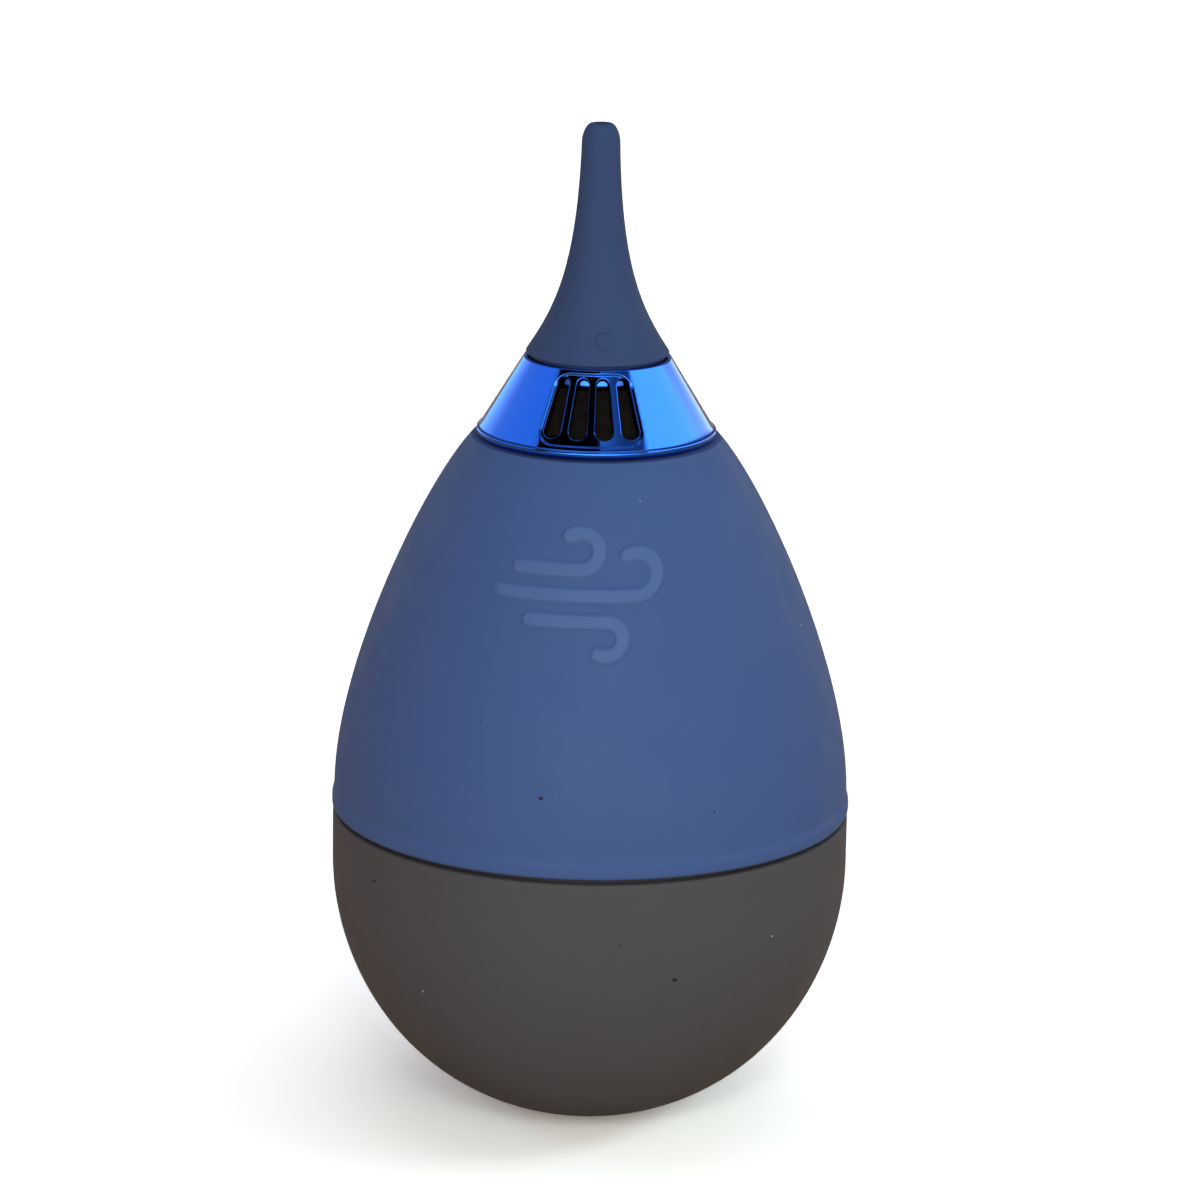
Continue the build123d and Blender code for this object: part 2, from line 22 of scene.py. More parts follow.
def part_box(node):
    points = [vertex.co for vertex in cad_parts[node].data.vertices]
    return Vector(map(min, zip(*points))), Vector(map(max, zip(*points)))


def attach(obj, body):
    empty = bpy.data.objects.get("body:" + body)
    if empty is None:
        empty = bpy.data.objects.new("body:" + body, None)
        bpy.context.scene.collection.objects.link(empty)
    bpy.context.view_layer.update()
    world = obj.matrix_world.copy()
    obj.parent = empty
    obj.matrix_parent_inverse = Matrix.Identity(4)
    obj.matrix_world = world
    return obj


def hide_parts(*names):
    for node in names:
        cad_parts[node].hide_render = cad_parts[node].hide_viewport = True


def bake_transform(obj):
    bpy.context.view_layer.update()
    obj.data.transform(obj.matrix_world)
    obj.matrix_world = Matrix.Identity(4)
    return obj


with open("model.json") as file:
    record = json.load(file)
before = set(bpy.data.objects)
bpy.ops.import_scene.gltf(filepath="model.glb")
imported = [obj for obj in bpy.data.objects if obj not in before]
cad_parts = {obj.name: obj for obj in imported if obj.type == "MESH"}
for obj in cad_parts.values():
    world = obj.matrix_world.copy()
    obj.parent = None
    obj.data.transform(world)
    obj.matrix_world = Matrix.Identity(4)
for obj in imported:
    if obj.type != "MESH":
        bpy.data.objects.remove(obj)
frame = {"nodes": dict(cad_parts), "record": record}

MM = 0.001
LINT_SPACING = 2.6  # millimetres between specks of lint in a finish
WELD_GAP = 0.001  # millimetres within which a turned piece's points become one
STAGGER = 0.866  # distance between the rows of a staggered grid, as a share of its spacing
CURVE_SPANS = 600  # spans of a long curve before it is cut into rows
SKIN_REACH = 0.1  # millimetres from a skin within which a point counts as lying on it
log = logging.getLogger("blower")

Pair = tuple[float, float]
Colour = tuple[float, float, float, float]
Tree = bpy.types.NodeTree
Socket = bpy.types.NodeSocket


# ---------------------------------------------------------------- outlines
def bezier(handles: Sequence[Pair], count: int) -> list[Pair]:
    """Points along a cubic curve.

    Args:
        handles: the curve's four control points.
        count: how many spans to cut it into.

    Returns:
        The points from the first handle to the last one.
    """
    corners = np.array(handles, float)
    t = np.linspace(0, 1, count + 1)[:, None]
    weights = ((1 - t) ** 3, 3 * (1 - t) ** 2 * t, 3 * (1 - t) * t**2, t**3)
    return [tuple(p) for p in sum(w * c for w, c in zip(weights, corners))]


def moved_in(path: Sequence[Pair], inset: float) -> list[Pair]:
    """A path moved in, to the left of its direction of travel.

    Args:
        path: an open run of points.
        inset: the distance, in millimetres.

    Returns:
        The moved points, as many as before.
    """
    points = np.array(path, float)
    way = np.gradient(points, axis=0)
    way /= np.linalg.norm(way, axis=1)[:, None]
    return [tuple(p) for p in points + inset * np.stack([-way[:, 1], way[:, 0]], 1)]


def rounded(corners: Sequence[tuple[float, float, float]], steps: int = 5) -> list[Pair]:
    """An open run of straight sides with rounded corners.

    Args:
        corners: (radius, height, rounding) of each corner; the first and last stay sharp.
        steps: how many spans each rounding gets.

    Returns:
        The run's points.
    """
    places = [np.array(c[:2], float) for c in corners]
    run = [tuple(places[0])]
    roundings = [corner[2] for corner in corners[1:]]
    for before, here, after, rounding in zip(places, places[1:], places[2:], roundings):
        if rounding <= 0:
            run.append(tuple(here))
            continue
        back = (before - here) / np.linalg.norm(before - here)
        on = (after - here) / np.linalg.norm(after - here)
        half = math.acos(np.clip(back @ on, -1, 1)) / 2
        start = here + back * rounding / math.tan(half)
        end = here + on * rounding / math.tan(half)
        centre = here + (back + on) / np.linalg.norm(back + on) * rounding / math.sin(half)
        for share in np.linspace(0, 1, steps + 1):
            spoke = (1 - share) * (start - centre) + share * (end - centre)
            run.append(tuple(centre + spoke / np.linalg.norm(spoke) * rounding))
    return run + [tuple(places[-1])]


def respaced(path: Sequence[Pair], spacing: Callable[[float], float]) -> list[Pair]:
    """A smooth run cut into spans whose length depends on height.

    Args:
        path: closely spaced points.
        spacing: gives the wanted span, in millimetres, at a height.

    Returns:
        The new points, with both ends kept.
    """
    points = np.array(path, float)
    length = np.r_[0, np.cumsum(np.linalg.norm(np.diff(points, axis=0), axis=1))]
    stops = [0.0]
    while stops[-1] < length[-1]:
        stops.append(stops[-1] + spacing(float(np.interp(stops[-1], length, points[:, 1]))))
    places = np.array(stops) * length[-1] / stops[-1]
    radii, heights = (np.interp(places, length, points[:, axis]) for axis in (0, 1))
    return list(zip(radii.tolist(), heights.tolist()))


def smoothstep(low: float, high: float, value: np.ndarray) -> np.ndarray:
    """A smooth rise from 0 at low to 1 at high."""
    share = np.clip((value - low) / (high - low), 0, 1)
    return share * share * (3 - 2 * share)


# ---------------------------------------------------------------- node building
def linear(code: str) -> Colour:
    """Linear colour of an sRGB hex code such as #306ce1."""
    parts = [int(code[i : i + 2], 16) / 255 for i in (1, 3, 5)]
    red, green, blue = (c / 12.92 if c <= 0.04045 else ((c + 0.055) / 1.055) ** 2.4 for c in parts)
    return (red, green, blue, 1.0)


def add(
    tree: Tree,
    kind: str,
    settings: dict | None = None,
    values: dict | None = None,
    links: dict | None = None,
) -> bpy.types.Node:
    """Adds a node with its settings and links.

    Args:
        tree: the tree that gets the node.
        kind: the node's type name.
        settings: attributes of the node, by name.
        values: constants for its inputs, by the input's name or number.
        links: sockets that feed its inputs, by the input's name or number.

    Returns:
        The new node.
    """
    node = tree.nodes.new(kind)
    for name, value in (settings or {}).items():
        setattr(node, name, value)
    for key, value in (values or {}).items():
        node.inputs[key].default_value = value
    for key, socket in (links or {}).items():
        tree.links.new(socket, node.inputs[key])
    return node


def maths(tree: Tree, operation: str, *operands: float | Socket) -> Socket:
    """Adds a maths node.

    Args:
        tree: the tree that gets the node.
        operation: what the node works out.
        operands: its inputs in order, each a number or a socket.

    Returns:
        The node's result.
    """
    links = {i: given for i, given in enumerate(operands) if isinstance(given, Socket)}
    values = {i: given for i, given in enumerate(operands) if i not in links}
    return add(tree, "ShaderNodeMath", {"operation": operation}, values, links).outputs[0]


def mixed(tree: Tree, share: Socket, first: Colour | Socket, second: Colour) -> Socket:
    """Adds a node that mixes two colours.

    Args:
        tree: the tree that gets the node.
        share: how much of the second colour there is.
        first: the first colour, as a constant or a socket.
        second: the second colour.

    Returns:
        The mixed colour.
    """
    links, values = {0: share}, {7: second}
    (links if isinstance(first, Socket) else values)[6] = first
    return add(tree, "ShaderNodeMix", {"data_type": "RGBA"}, values, links).outputs[2]


def placed(name: str, data: bpy.types.ID) -> bpy.types.Object:
    """A new object in the scene that shows a mesh, a lamp or a camera."""
    thing = bpy.data.objects.new(name, data)
    bpy.context.scene.collection.objects.link(thing)
    return thing


def new_geometry_tree(name: str, sockets: dict[str, str]) -> tuple[Tree, bpy.types.Node]:
    """An empty Geometry Nodes tree with named inputs.

    Args:
        name: the tree's name.
        sockets: socket type of each input, by its name.

    Returns:
        The tree and its input node.
    """
    tree = bpy.data.node_groups.new(name, "GeometryNodeTree")
    tree.interface.new_socket("Geometry", in_out="OUTPUT", socket_type="NodeSocketGeometry")
    for label, kind in sockets.items():
        tree.interface.new_socket(label, in_out="INPUT", socket_type=kind)
    return tree, add(tree, "NodeGroupInput")


def end_tree(tree: Tree, given: bpy.types.Node, geometry: Socket) -> None:
    """Ends a Geometry Nodes tree in Realize Instances and Set Material.

    Args:
        tree: the tree.
        given: its input node, with a Material input.
        geometry: what the tree has made.
    """
    real = add(tree, "GeometryNodeRealizeInstances", links={0: geometry})
    dressed = add(
        tree,
        "GeometryNodeSetMaterial",
        links={0: real.outputs[0], "Material": given.outputs["Material"]},
    )
    add(tree, "NodeGroupOutput", links={0: dressed.outputs[0]})


def grown(name: str, mesh: bpy.types.Mesh, tree: Tree, inputs: dict) -> bpy.types.Object:
    """Runs a Geometry Nodes tree and keeps its result as a plain mesh.

    Args:
        name: the new object's name.
        mesh: the mesh that the tree starts from.
        tree: the tree.
        inputs: values of the tree's inputs, by name.

    Returns:
        The object, with its modifier removed.
    """
    piece = placed(name, mesh)
    modifier = piece.modifiers.new(name, "NODES")
    modifier.node_group = tree
    for socket in tree.interface.items_tree:
        if socket.in_out == "INPUT" and socket.name in inputs:
            modifier[socket.identifier] = inputs[socket.name]
    shown = piece.evaluated_get(bpy.context.evaluated_depsgraph_get())
    result = bpy.data.meshes.new_from_object(shown)
    piece.modifiers.remove(modifier)
    piece.data = result
    result.name = name
    result.materials.clear()
    result.materials.append(inputs["Material"])
    result.polygons.foreach_set("material_index", [0] * len(result.polygons))
    return piece


def faced_outwards(piece: bpy.types.Object, crease: float = 35.0) -> bpy.types.Object:
    """Turns a closed mesh's faces outwards and marks its creases.

    Args:
        piece: an object with a closed mesh.
        crease: the angle, in degrees, past which an edge is shaded sharp.

    Returns:
        The same object.
    """
    mesh = bmesh.new()
    mesh.from_mesh(piece.data)
    bmesh.ops.recalc_face_normals(mesh, faces=mesh.faces)
    if mesh.calc_volume(signed=True) < 0:
        bmesh.ops.reverse_faces(mesh, faces=mesh.faces)
    mesh.to_mesh(piece.data)
    mesh.free()
    piece.data.polygons.foreach_set("use_smooth", [True] * len(piece.data.polygons))
    piece.data.set_sharp_from_angle(angle=math.radians(crease))
    return piece


def positions(mesh: bpy.types.Mesh) -> np.ndarray:
    """A mesh's points, in millimetres."""
    points = np.empty(3 * len(mesh.vertices))
    mesh.vertices.foreach_get("co", points)
    return points.reshape(-1, 3) / MM


def set_positions(mesh: bpy.types.Mesh, points: np.ndarray) -> None:
    """Moves a mesh's points to places given in millimetres."""
    mesh.vertices.foreach_set("co", (points * MM).ravel())
    mesh.update()


# ---------------------------------------------------------------- finishes
@dataclass(frozen=True)
class Finish:
    """A surface: what it is made of, its colour, its gloss, and the texture that its making left.

    Sizes are in millimetres. A blotch is a soft patch of a second colour, as skin oil or flow
    leaves it; on the filter foam it is painted shade for the pores. Polished places can get a
    lighter colour, which is a painted highlight.
    """

    name: str
    colour: str
    roughness: float
    ior: float = 1.5
    specular: float = 0.5
    metallic: float = 0.0
    grain: float = 0.2
    grain_depth: float = 0.01
    blotch: float = 12.0
    blotch_colour: str | None = None
    blotch_amount: float = 0.3
    roughness_spread: float = 0.06
    sheen: float = 0.0
    sheen_colour: str = "#ffffff"
    sheen_roughness: float = 0.4
    lint: float = 0.0
    lint_colour: str = "#8f8f8c"
    polish: float = 0.0
    # Lighter colour on polished places: a painted highlight.
    painted_highlight_colour: str | None = None

    def material(self) -> bpy.types.Material:
        """The finish as a node material, made once."""
        known = bpy.data.materials.get(self.name)
        if known:
            return known
        made = bpy.data.materials.new(self.name)
        made.use_nodes = True
        tree = made.node_tree
        tree.nodes.clear()
        place = add(tree, "ShaderNodeTexCoord").outputs["Object"]
        shader = add(
            tree,
            "ShaderNodeBsdfPrincipled",
            values={
                "Metallic": self.metallic,
                "IOR": self.ior,
                "Specular IOR Level": self.specular,
                "Sheen Weight": self.sheen,
                "Sheen Roughness": self.sheen_roughness,
                "Sheen Tint": linear(self.sheen_colour),
            },
            links={
                "Base Color": self.colouring(tree, place),
                "Roughness": self.gloss(tree, place),
                "Normal": self.texture(tree, place),
            },
        )
        add(tree, "ShaderNodeOutputMaterial", links={"Surface": shader.outputs[0]})
        made.diffuse_color = linear(self.colour)
        return made

    def colouring(self, tree: Tree, place: Socket) -> Socket:
        """Colour with its soft blotches, the painted highlight on polished areas, and lint.

        Args:
            tree: the material's tree.
            place: the socket that gives the place on the object.

        Returns:
            The socket that gives the colour.
        """
        soft = add(
            tree,
            "ShaderNodeTexNoise",
            values={"Scale": 1 / (self.blotch * MM), "Detail": 4.0, "Roughness": 0.55},
            links={"Vector": place},
        )
        spread = add(
            tree,
            "ShaderNodeMapRange",
            values={"From Min": 0.35, "From Max": 0.7, "To Min": 0.0, "To Max": self.blotch_amount},
            links={"Value": soft.outputs[0]},
        )
        blotched = linear(self.blotch_colour or self.colour)
        colour = mixed(tree, spread.outputs[0], linear(self.colour), blotched)
        # The raised mark is painted lighter here: a painted highlight on top of its lower
        # roughness.
        if self.painted_highlight_colour:
            mark = add(tree, "ShaderNodeAttribute", {"attribute_name": "polish"})
            colour = mixed(tree, mark.outputs["Fac"], colour, linear(self.painted_highlight_colour))
        if not self.lint:
            return colour
        cells = add(
            tree,
            "ShaderNodeTexVoronoi",
            values={"Scale": 1 / (LINT_SPACING * MM), "Randomness": 1.0},
            links={"Vector": place},
        )
        near = add(
            tree,
            "ShaderNodeMapRange",
            values={"From Min": 0.045, "From Max": 0.025, "To Min": 0.0, "To Max": self.lint},
            links={"Value": cells.outputs["Distance"]},
        )
        return mixed(tree, near.outputs[0], colour, linear(self.lint_colour))

    def gloss(self, tree: Tree, place: Socket) -> Socket:
        """Roughness that wanders a little, as handling and the mould leave it.

        Args:
            tree: the material's tree.
            place: the socket that gives the place on the object.

        Returns:
            The socket that gives the roughness.
        """
        wander = add(
            tree,
            "ShaderNodeTexNoise",
            values={"Scale": 1 / (0.6 * self.blotch * MM), "Detail": 3.0},
            links={"Vector": place},
        )
        rough = add(
            tree,
            "ShaderNodeMapRange",
            values={
                "From Min": 0.3,
                "From Max": 0.7,
                "To Min": self.roughness - self.roughness_spread,
                "To Max": self.roughness + self.roughness_spread,
            },
            links={"Value": wander.outputs[0]},
        ).outputs[0]
        if not self.polish:
            return rough
        mark = add(tree, "ShaderNodeAttribute", {"attribute_name": "polish"})
        return add(
            tree,
            "ShaderNodeMix",
            {"data_type": "FLOAT"},
            values={3: self.roughness - self.polish},
            links={0: mark.outputs["Fac"], 2: rough},
        ).outputs[0]

    def texture(self, tree: Tree, place: Socket) -> Socket:
        """Fine grain as a bump.

        Args:
            tree: the material's tree.
            place: the socket that gives the place on the object.

        Returns:
            The socket that gives the surface's direction.
        """
        grain = add(
            tree,
            "ShaderNodeTexNoise",
            values={"Scale": 1 / (self.grain * MM), "Detail": 2.0, "Roughness": 0.6},
            links={"Vector": place},
        )
        return add(
            tree,
            "ShaderNodeBump",
            values={"Strength": 1.0, "Distance": self.grain_depth * MM},
            links={"Height": grain.outputs[0]},
        ).outputs[0]


# Solid-coloured silicone, moulded in a fine-blasted mould: an even matt blue that turns paler only
# where it is seen edge-on and is smoother on the raised mark, whose colour is also painted lighter
# as a painted highlight, with a little lint because silicone draws it.
BULB_SILICONE = Finish(
    "silicone_blue_moulded_matt",
    colour="#425d99",
    blotch_colour="#466094",
    roughness=0.62,
    ior=1.41,
    specular=0.3,
    grain=0.22,
    grain_depth=0.006,
    sheen=0.02,
    sheen_colour="#b8a48c",
    lint=0.3,
    polish=0.1,
    # Painted highlight: the raised mark's colour made lighter.
    painted_highlight_colour="#4f6aa6",
)
# The same silicone in a darker batch: a shade deeper than the bulb and just as matt.
NOZZLE_SILICONE = Finish(
    "silicone_slate_moulded_matt",
    colour="#3a4d7c",
    blotch_colour="#3e5179",
    roughness=0.66,
    ior=1.41,
    specular=0.12,
    grain=0.22,
    grain_depth=0.006,
    sheen=0.02,
    sheen_colour="#b8a48c",
    lint=0.2,
)
# Grey silicone skin over the base, blasted mould: dark grey that browns a little towards its edges,
# with the lint that lands on a skin that rolls about on a bench.
BASE_SILICONE = Finish(
    "silicone_grey_moulded_matt",
    colour="#4f4f57",
    blotch_colour="#4c4b4f",
    roughness=0.66,
    ior=1.41,
    specular=0.3,
    grain=0.25,
    grain_depth=0.007,
    sheen=0.03,
    sheen_colour="#8a6a48",
    lint=0.45,
    lint_colour="#77746f",
)
# Polished plastic with vacuum-metallised, blue-tinted plating: a clean mirror whose white
# reflections turn blue, with the slight waviness of a moulded part under the plating.
COLLAR_PLATING = Finish(
    "plastic_blue_metallised_polished",
    colour="#306ce1",
    blotch_colour="#2f68d8",
    roughness=0.07,
    roughness_spread=0.02,
    metallic=1.0,
    grain=2.4,
    grain_depth=0.002,
    blotch=5.0,
)
# Black ABS from a lightly textured mould: dark with a broad soft gloss.
BLACK_ABS = Finish(
    "abs_black_moulded_satin",
    colour="#141416",
    blotch_colour="#19191b",
    roughness=0.42,
    ior=1.53,
    grain=0.3,
    grain_depth=0.006,
)
# Open-cell polyurethane filter foam, dark brown-black: no gloss, with near-black blotches about a
# pore's size that are painted shade for the open pores between the struts.
FILTER_FOAM = Finish(
    "polyurethane_foam_open_cell",
    colour="#140e0c",
    # Near-black blotches: painted shade for the open pores.
    blotch_colour="#080505",
    roughness=0.95,
    specular=0.2,
    grain=0.35,
    grain_depth=0.08,
    blotch=0.8,
    blotch_amount=0.9,
)
# Closed-cell polyethylene foam tape, die-cut: pale and dull with fine cells.
PAD_FOAM = Finish(
    "polyethylene_foam_die_cut",
    colour="#c9c5ba",
    blotch_colour="#b5b0a4",
    roughness=0.9,
    grain=0.4,
    grain_depth=0.05,
    blotch=1.5,
)
# Translucent-looking natural silicone, moulded in a polished mould: milky with a soft shine.
VALVE_SILICONE = Finish(
    "silicone_natural_moulded",
    colour="#c8c9c4",
    blotch_colour="#bfc1bd",
    roughness=0.35,
    ior=1.41,
    grain=0.4,
    grain_depth=0.003,
)
# Nitrile O-ring, compression moulded: black and slightly greasy.
SEAL_RUBBER = Finish(
    "nitrile_rubber_moulded",
    colour="#121212",
    blotch_colour="#1b1a19",
    roughness=0.4,
    ior=1.52,
    grain=0.3,
    grain_depth=0.004,
)
# Zinc-plated steel screws: bright, a little yellow, with the fine scatter of barrel plating.
SCREW_STEEL = Finish(
    "steel_zinc_plated",
    colour="#c3c2b8",
    blotch_colour="#aeb0ac",
    roughness=0.28,
    metallic=1.0,
    grain=0.25,
    grain_depth=0.004,
    blotch=1.5,
)
# Turned steel weight, nickel plated: grey metal with faint turning marks under the plating.
WEIGHT_STEEL = Finish(
    "steel_turned_nickel_plated",
    colour="#a9a59b",
    blotch_colour="#8f8c84",
    roughness=0.32,
    metallic=1.0,
    grain=0.5,
    grain_depth=0.006,
    blotch=4.0,
)
# Lint and grit that has settled: dull crumbs, darker than the silicone.
DARK_DUST = Finish(
    "lint_dark",
    colour="#23221f",
    blotch_colour="#35302a",
    roughness=0.95,
    grain=0.05,
)
# Pale lint: dull and lighter than the silicone.
PALE_DUST = Finish(
    "lint_pale",
    colour="#a9acb2",
    blotch_colour="#8d8f94",
    roughness=0.95,
    grain=0.05,
)


class Slot(Enum):
    """Finish of each material slot of the record."""

    BLUE = ("blue_silicone", BULB_SILICONE)
    NOZZLE = ("nozzle_silicone", NOZZLE_SILICONE)
    GREY = ("grey_silicone", BASE_SILICONE)
    PLATED = ("plated_blue", COLLAR_PLATING)
    ABS = ("black_abs", BLACK_ABS)
    FOAM = ("filter_foam", FILTER_FOAM)
    PAD = ("foam_pad", PAD_FOAM)
    VALVE = ("valve_silicone", VALVE_SILICONE)
    SEAL = ("seal_rubber", SEAL_RUBBER)
    SCREW = ("screw_steel", SCREW_STEEL)
    WEIGHT = ("plated_steel_weight", WEIGHT_STEEL)

    @property
    def label(self) -> str:
        """The slot's name in the record."""
        return self.value[0]

    @property
    def finish(self) -> Finish:
        """The finish that the slot gets."""
        return self.value[1]


# ---------------------------------------------------------------- turned pieces
@dataclass(frozen=True)
class Lathe:
    """Turns an outline about the axis, with finer columns across the front.

    Attributes:
        front_angle: half of the finer front sector, in degrees.
        front_columns: how many columns that sector gets.
        back_columns: how many columns the rest gets.
    """

    front_angle: float = 30.0
    front_columns: int = 40
    back_columns: int = 160

    @staticmethod
    def tree() -> Tree:
        """The Geometry Nodes tree that turns an outline, made once."""
        known = bpy.data.node_groups.get("lathe")
        if known:
            return known
        tree, given = new_geometry_tree(
            "lathe",
            {
                "Outline": "NodeSocketObject",
                "Front Angle": "NodeSocketFloat",
                "Front Columns": "NodeSocketInt",
                "Back Columns": "NodeSocketInt",
                "Weld Distance": "NodeSocketFloat",
                "Material": "NodeSocketMaterial",
            },
        )
        front, back = given.outputs["Front Columns"], given.outputs["Back Columns"]
        source = add(tree, "GeometryNodeObjectInfo", links={"Object": given.outputs["Outline"]})
        outline = source.outputs["Geometry"]
        counts = add(tree, "GeometryNodeAttributeDomainSize", links={0: outline})
        rows = counts.outputs["Point Count"]
        columns = maths(tree, "ADD", front, back)
        grid = add(
            tree,
            "GeometryNodeMeshGrid",
            links={"Vertices X": maths(tree, "ADD", columns, 1.0), "Vertices Y": rows},
        )
        index = add(tree, "GeometryNodeInputIndex").outputs[0]
        column = maths(tree, "FLOOR", maths(tree, "DIVIDE", index, rows))
        row = maths(tree, "MODULO", index, rows)
        position = add(tree, "GeometryNodeInputPosition").outputs[0]
        sampled = add(
            tree,
            "GeometryNodeSampleIndex",
            {"data_type": "FLOAT_VECTOR", "domain": "POINT"},
            links={"Geometry": outline, "Value": position, "Index": row},
        )
        place = add(tree, "ShaderNodeSeparateXYZ", links={0: sampled.outputs[0]}).outputs
        half = given.outputs["Front Angle"]
        minus = maths(tree, "MULTIPLY", half, -1.0)
        rest = maths(tree, "MULTIPLY_ADD", half, -2.0, math.tau)
        ahead = add(
            tree,
            "ShaderNodeMapRange",
            links={"Value": column, "From Max": front, "To Min": minus, "To Max": half},
        ).outputs[0]
        behind = add(
            tree,
            "ShaderNodeMapRange",
            links={"Value": column, "From Min": front, "From Max": columns, "To Max": rest},
            values={"To Min": 0.0},
        ).outputs[0]
        angle = maths(tree, "ADD", ahead, behind)
        across = maths(tree, "MULTIPLY", place[0], maths(tree, "SINE", angle))
        facing = maths(tree, "MULTIPLY", place[0], maths(tree, "COSINE", angle))
        inward = maths(tree, "MULTIPLY", facing, -1.0)
        where = add(tree, "ShaderNodeCombineXYZ", links={0: across, 1: inward, 2: place[2]})
        turned = add(
            tree,
            "GeometryNodeSetPosition",
            links={"Geometry": grid.outputs[0], "Position": where.outputs[0]},
        )
        welded = add(
            tree,
            "GeometryNodeMergeByDistance",
            links={"Geometry": turned.outputs[0], "Distance": given.outputs["Weld Distance"]},
        )
        end_tree(tree, given, welded.outputs[0])
        return tree

    def turn(self, name: str, outline: Sequence[Pair], finish: Finish) -> bpy.types.Object:
        """Turns a closed outline, or one whose ends lie on the axis.

        Args:
            name: the new piece's name.
            outline: (radius, height) pairs in millimetres.
            finish: what the piece is made of.

        Returns:
            The piece, with its faces outwards.
        """
        line = bpy.data.meshes.new(name + "_outline")
        edges = [(i, i + 1) for i in range(len(outline) - 1)]
        line.from_pydata([(r * MM, 0.0, z * MM) for r, z in outline], edges, [])
        guide = placed(name + "_outline", line)
        piece = grown(
            name,
            bpy.data.meshes.new(name + "_start"),
            self.tree(),
            {
                "Outline": guide,
                "Front Angle": math.radians(self.front_angle),
                "Front Columns": self.front_columns,
                "Back Columns": self.back_columns,
                "Weld Distance": WELD_GAP * MM,
                "Material": finish.material(),
            },
        )
        bpy.data.objects.remove(guide)
        return faced_outwards(piece)


@dataclass(frozen=True)
class Skin:
    """Outer face of a turned piece, read from its outline.

    Attributes:
        radii: radii of the outline's points, in millimetres.
        heights: their heights, rising all the way.
        lean: how far the skin leans in from upright, in radians, where it is the same all over.
    """

    radii: np.ndarray
    heights: np.ndarray
    lean: float | None = None

    @staticmethod
    def of(side: Sequence[Pair], lean: float | None = None) -> "Skin":
        """The skin of an outline."""
        radii, heights = np.array(side).T
        return Skin(radii, heights, lean)

    def radius_at(self, height: np.ndarray) -> np.ndarray:
        """Radii at heights."""
        return np.interp(height, self.heights, self.radii)

    def slant_at(self, height: np.ndarray | float) -> np.ndarray:
        """Distances along the outline at heights."""
        steps = np.hypot(np.diff(self.radii), np.diff(self.heights))
        return np.interp(height, self.heights, np.r_[0, np.cumsum(steps)])

    def leans(self) -> np.ndarray:
        """How far the outline leans in from upright at its points."""
        return np.arctan2(-np.gradient(self.radii), np.gradient(self.heights))

    def out(self, turn: np.ndarray, height: np.ndarray) -> np.ndarray:
        """Directions out of the skin.

        Args:
            turn: turns from the front, in radians.
            height: heights, as many as turns.

        Returns:
            The directions, one row each.
        """
        lean = np.interp(height, self.heights, self.leans()) if self.lean is None else self.lean
        level, steep = np.cos(lean), np.sin(lean)
        return np.stack([level * np.sin(turn), -level * np.cos(turn), steep + 0 * turn], -1)

    def unrolled(self, points: np.ndarray, height: float) -> tuple[np.ndarray, ...]:
        """Where points lie on the skin.

        Args:
            points: the points.
            height: the height that distances up the skin are measured from.

        Returns:
            Their turns, radii and distances up the skin, and whether they lie on it.
        """
        reach = np.hypot(points[:, 0], points[:, 1])
        turn = np.arctan2(points[:, 0], -points[:, 1])
        up = self.slant_at(points[:, 2]) - self.slant_at(height)
        return turn, reach, up, np.abs(reach - self.radius_at(points[:, 2])) < SKIN_REACH


# ---------------------------------------------------------------- the raised mark
@dataclass(frozen=True)
class Gust:
    """One curling bar of the breeze mark: a straight run that ends in an arc.

    Attributes:
        start: where the straight run starts, across, in millimetres.
        level: its height above the mark's middle.
        turn_at: where it starts to curl, across.
        curl: radius of the curl; it turns up, or down if negative.
        sweep: how far it curls, in degrees.
    """

    start: float
    level: float
    turn_at: float
    curl: float
    sweep: float

    def points(self) -> np.ndarray:
        """The bar's centre line."""
        turns = np.radians(np.linspace(0, self.sweep, 40))
        across = self.turn_at + abs(self.curl) * np.sin(turns)
        up = self.level + self.curl * (1 - np.cos(turns))
        return np.vstack([[self.start, self.level], np.stack([across, up], 1)])


@dataclass(frozen=True)
class BreezeMark:
    """Plain raised pictogram of moving air on the bulb's front."""

    gusts: tuple[Gust, ...] = (
        Gust(-8.2, 2.3, -0.6, 2.35, 215.0),
        Gust(-10.4, -0.9, 6.3, 2.7, 205.0),
        Gust(-6.6, -4.1, 2.9, -2.1, 205.0),
    )
    bar_width: float = 1.75
    proud: float = 0.3
    edge: float = 0.4

    def distance(self, across: np.ndarray, up: np.ndarray) -> np.ndarray:
        """Distance from the bars' edges, negative on the bars.

        Args:
            across: places across the mark, in millimetres.
            up: places up the mark.

        Returns:
            The distances, one for each place.
        """
        best = np.full(across.shape, 1e9)
        for gust in self.gusts:
            line = gust.points()
            for a, b in zip(line, line[1:]):
                way = b - a
                along = (across - a[0]) * way[0] + (up - a[1]) * way[1]
                share = np.clip(along / (way @ way), 0, 1)
                gap = np.hypot(across - a[0] - share * way[0], up - a[1] - share * way[1])
                best = np.minimum(best, gap)
        return best - self.bar_width / 2

    def rise(self, across: np.ndarray, up: np.ndarray) -> np.ndarray:
        """How much of its full height the mark has at each place, from 0 to 1."""
        return 1 - smoothstep(-self.edge / 2, self.edge / 2, self.distance(across, up))


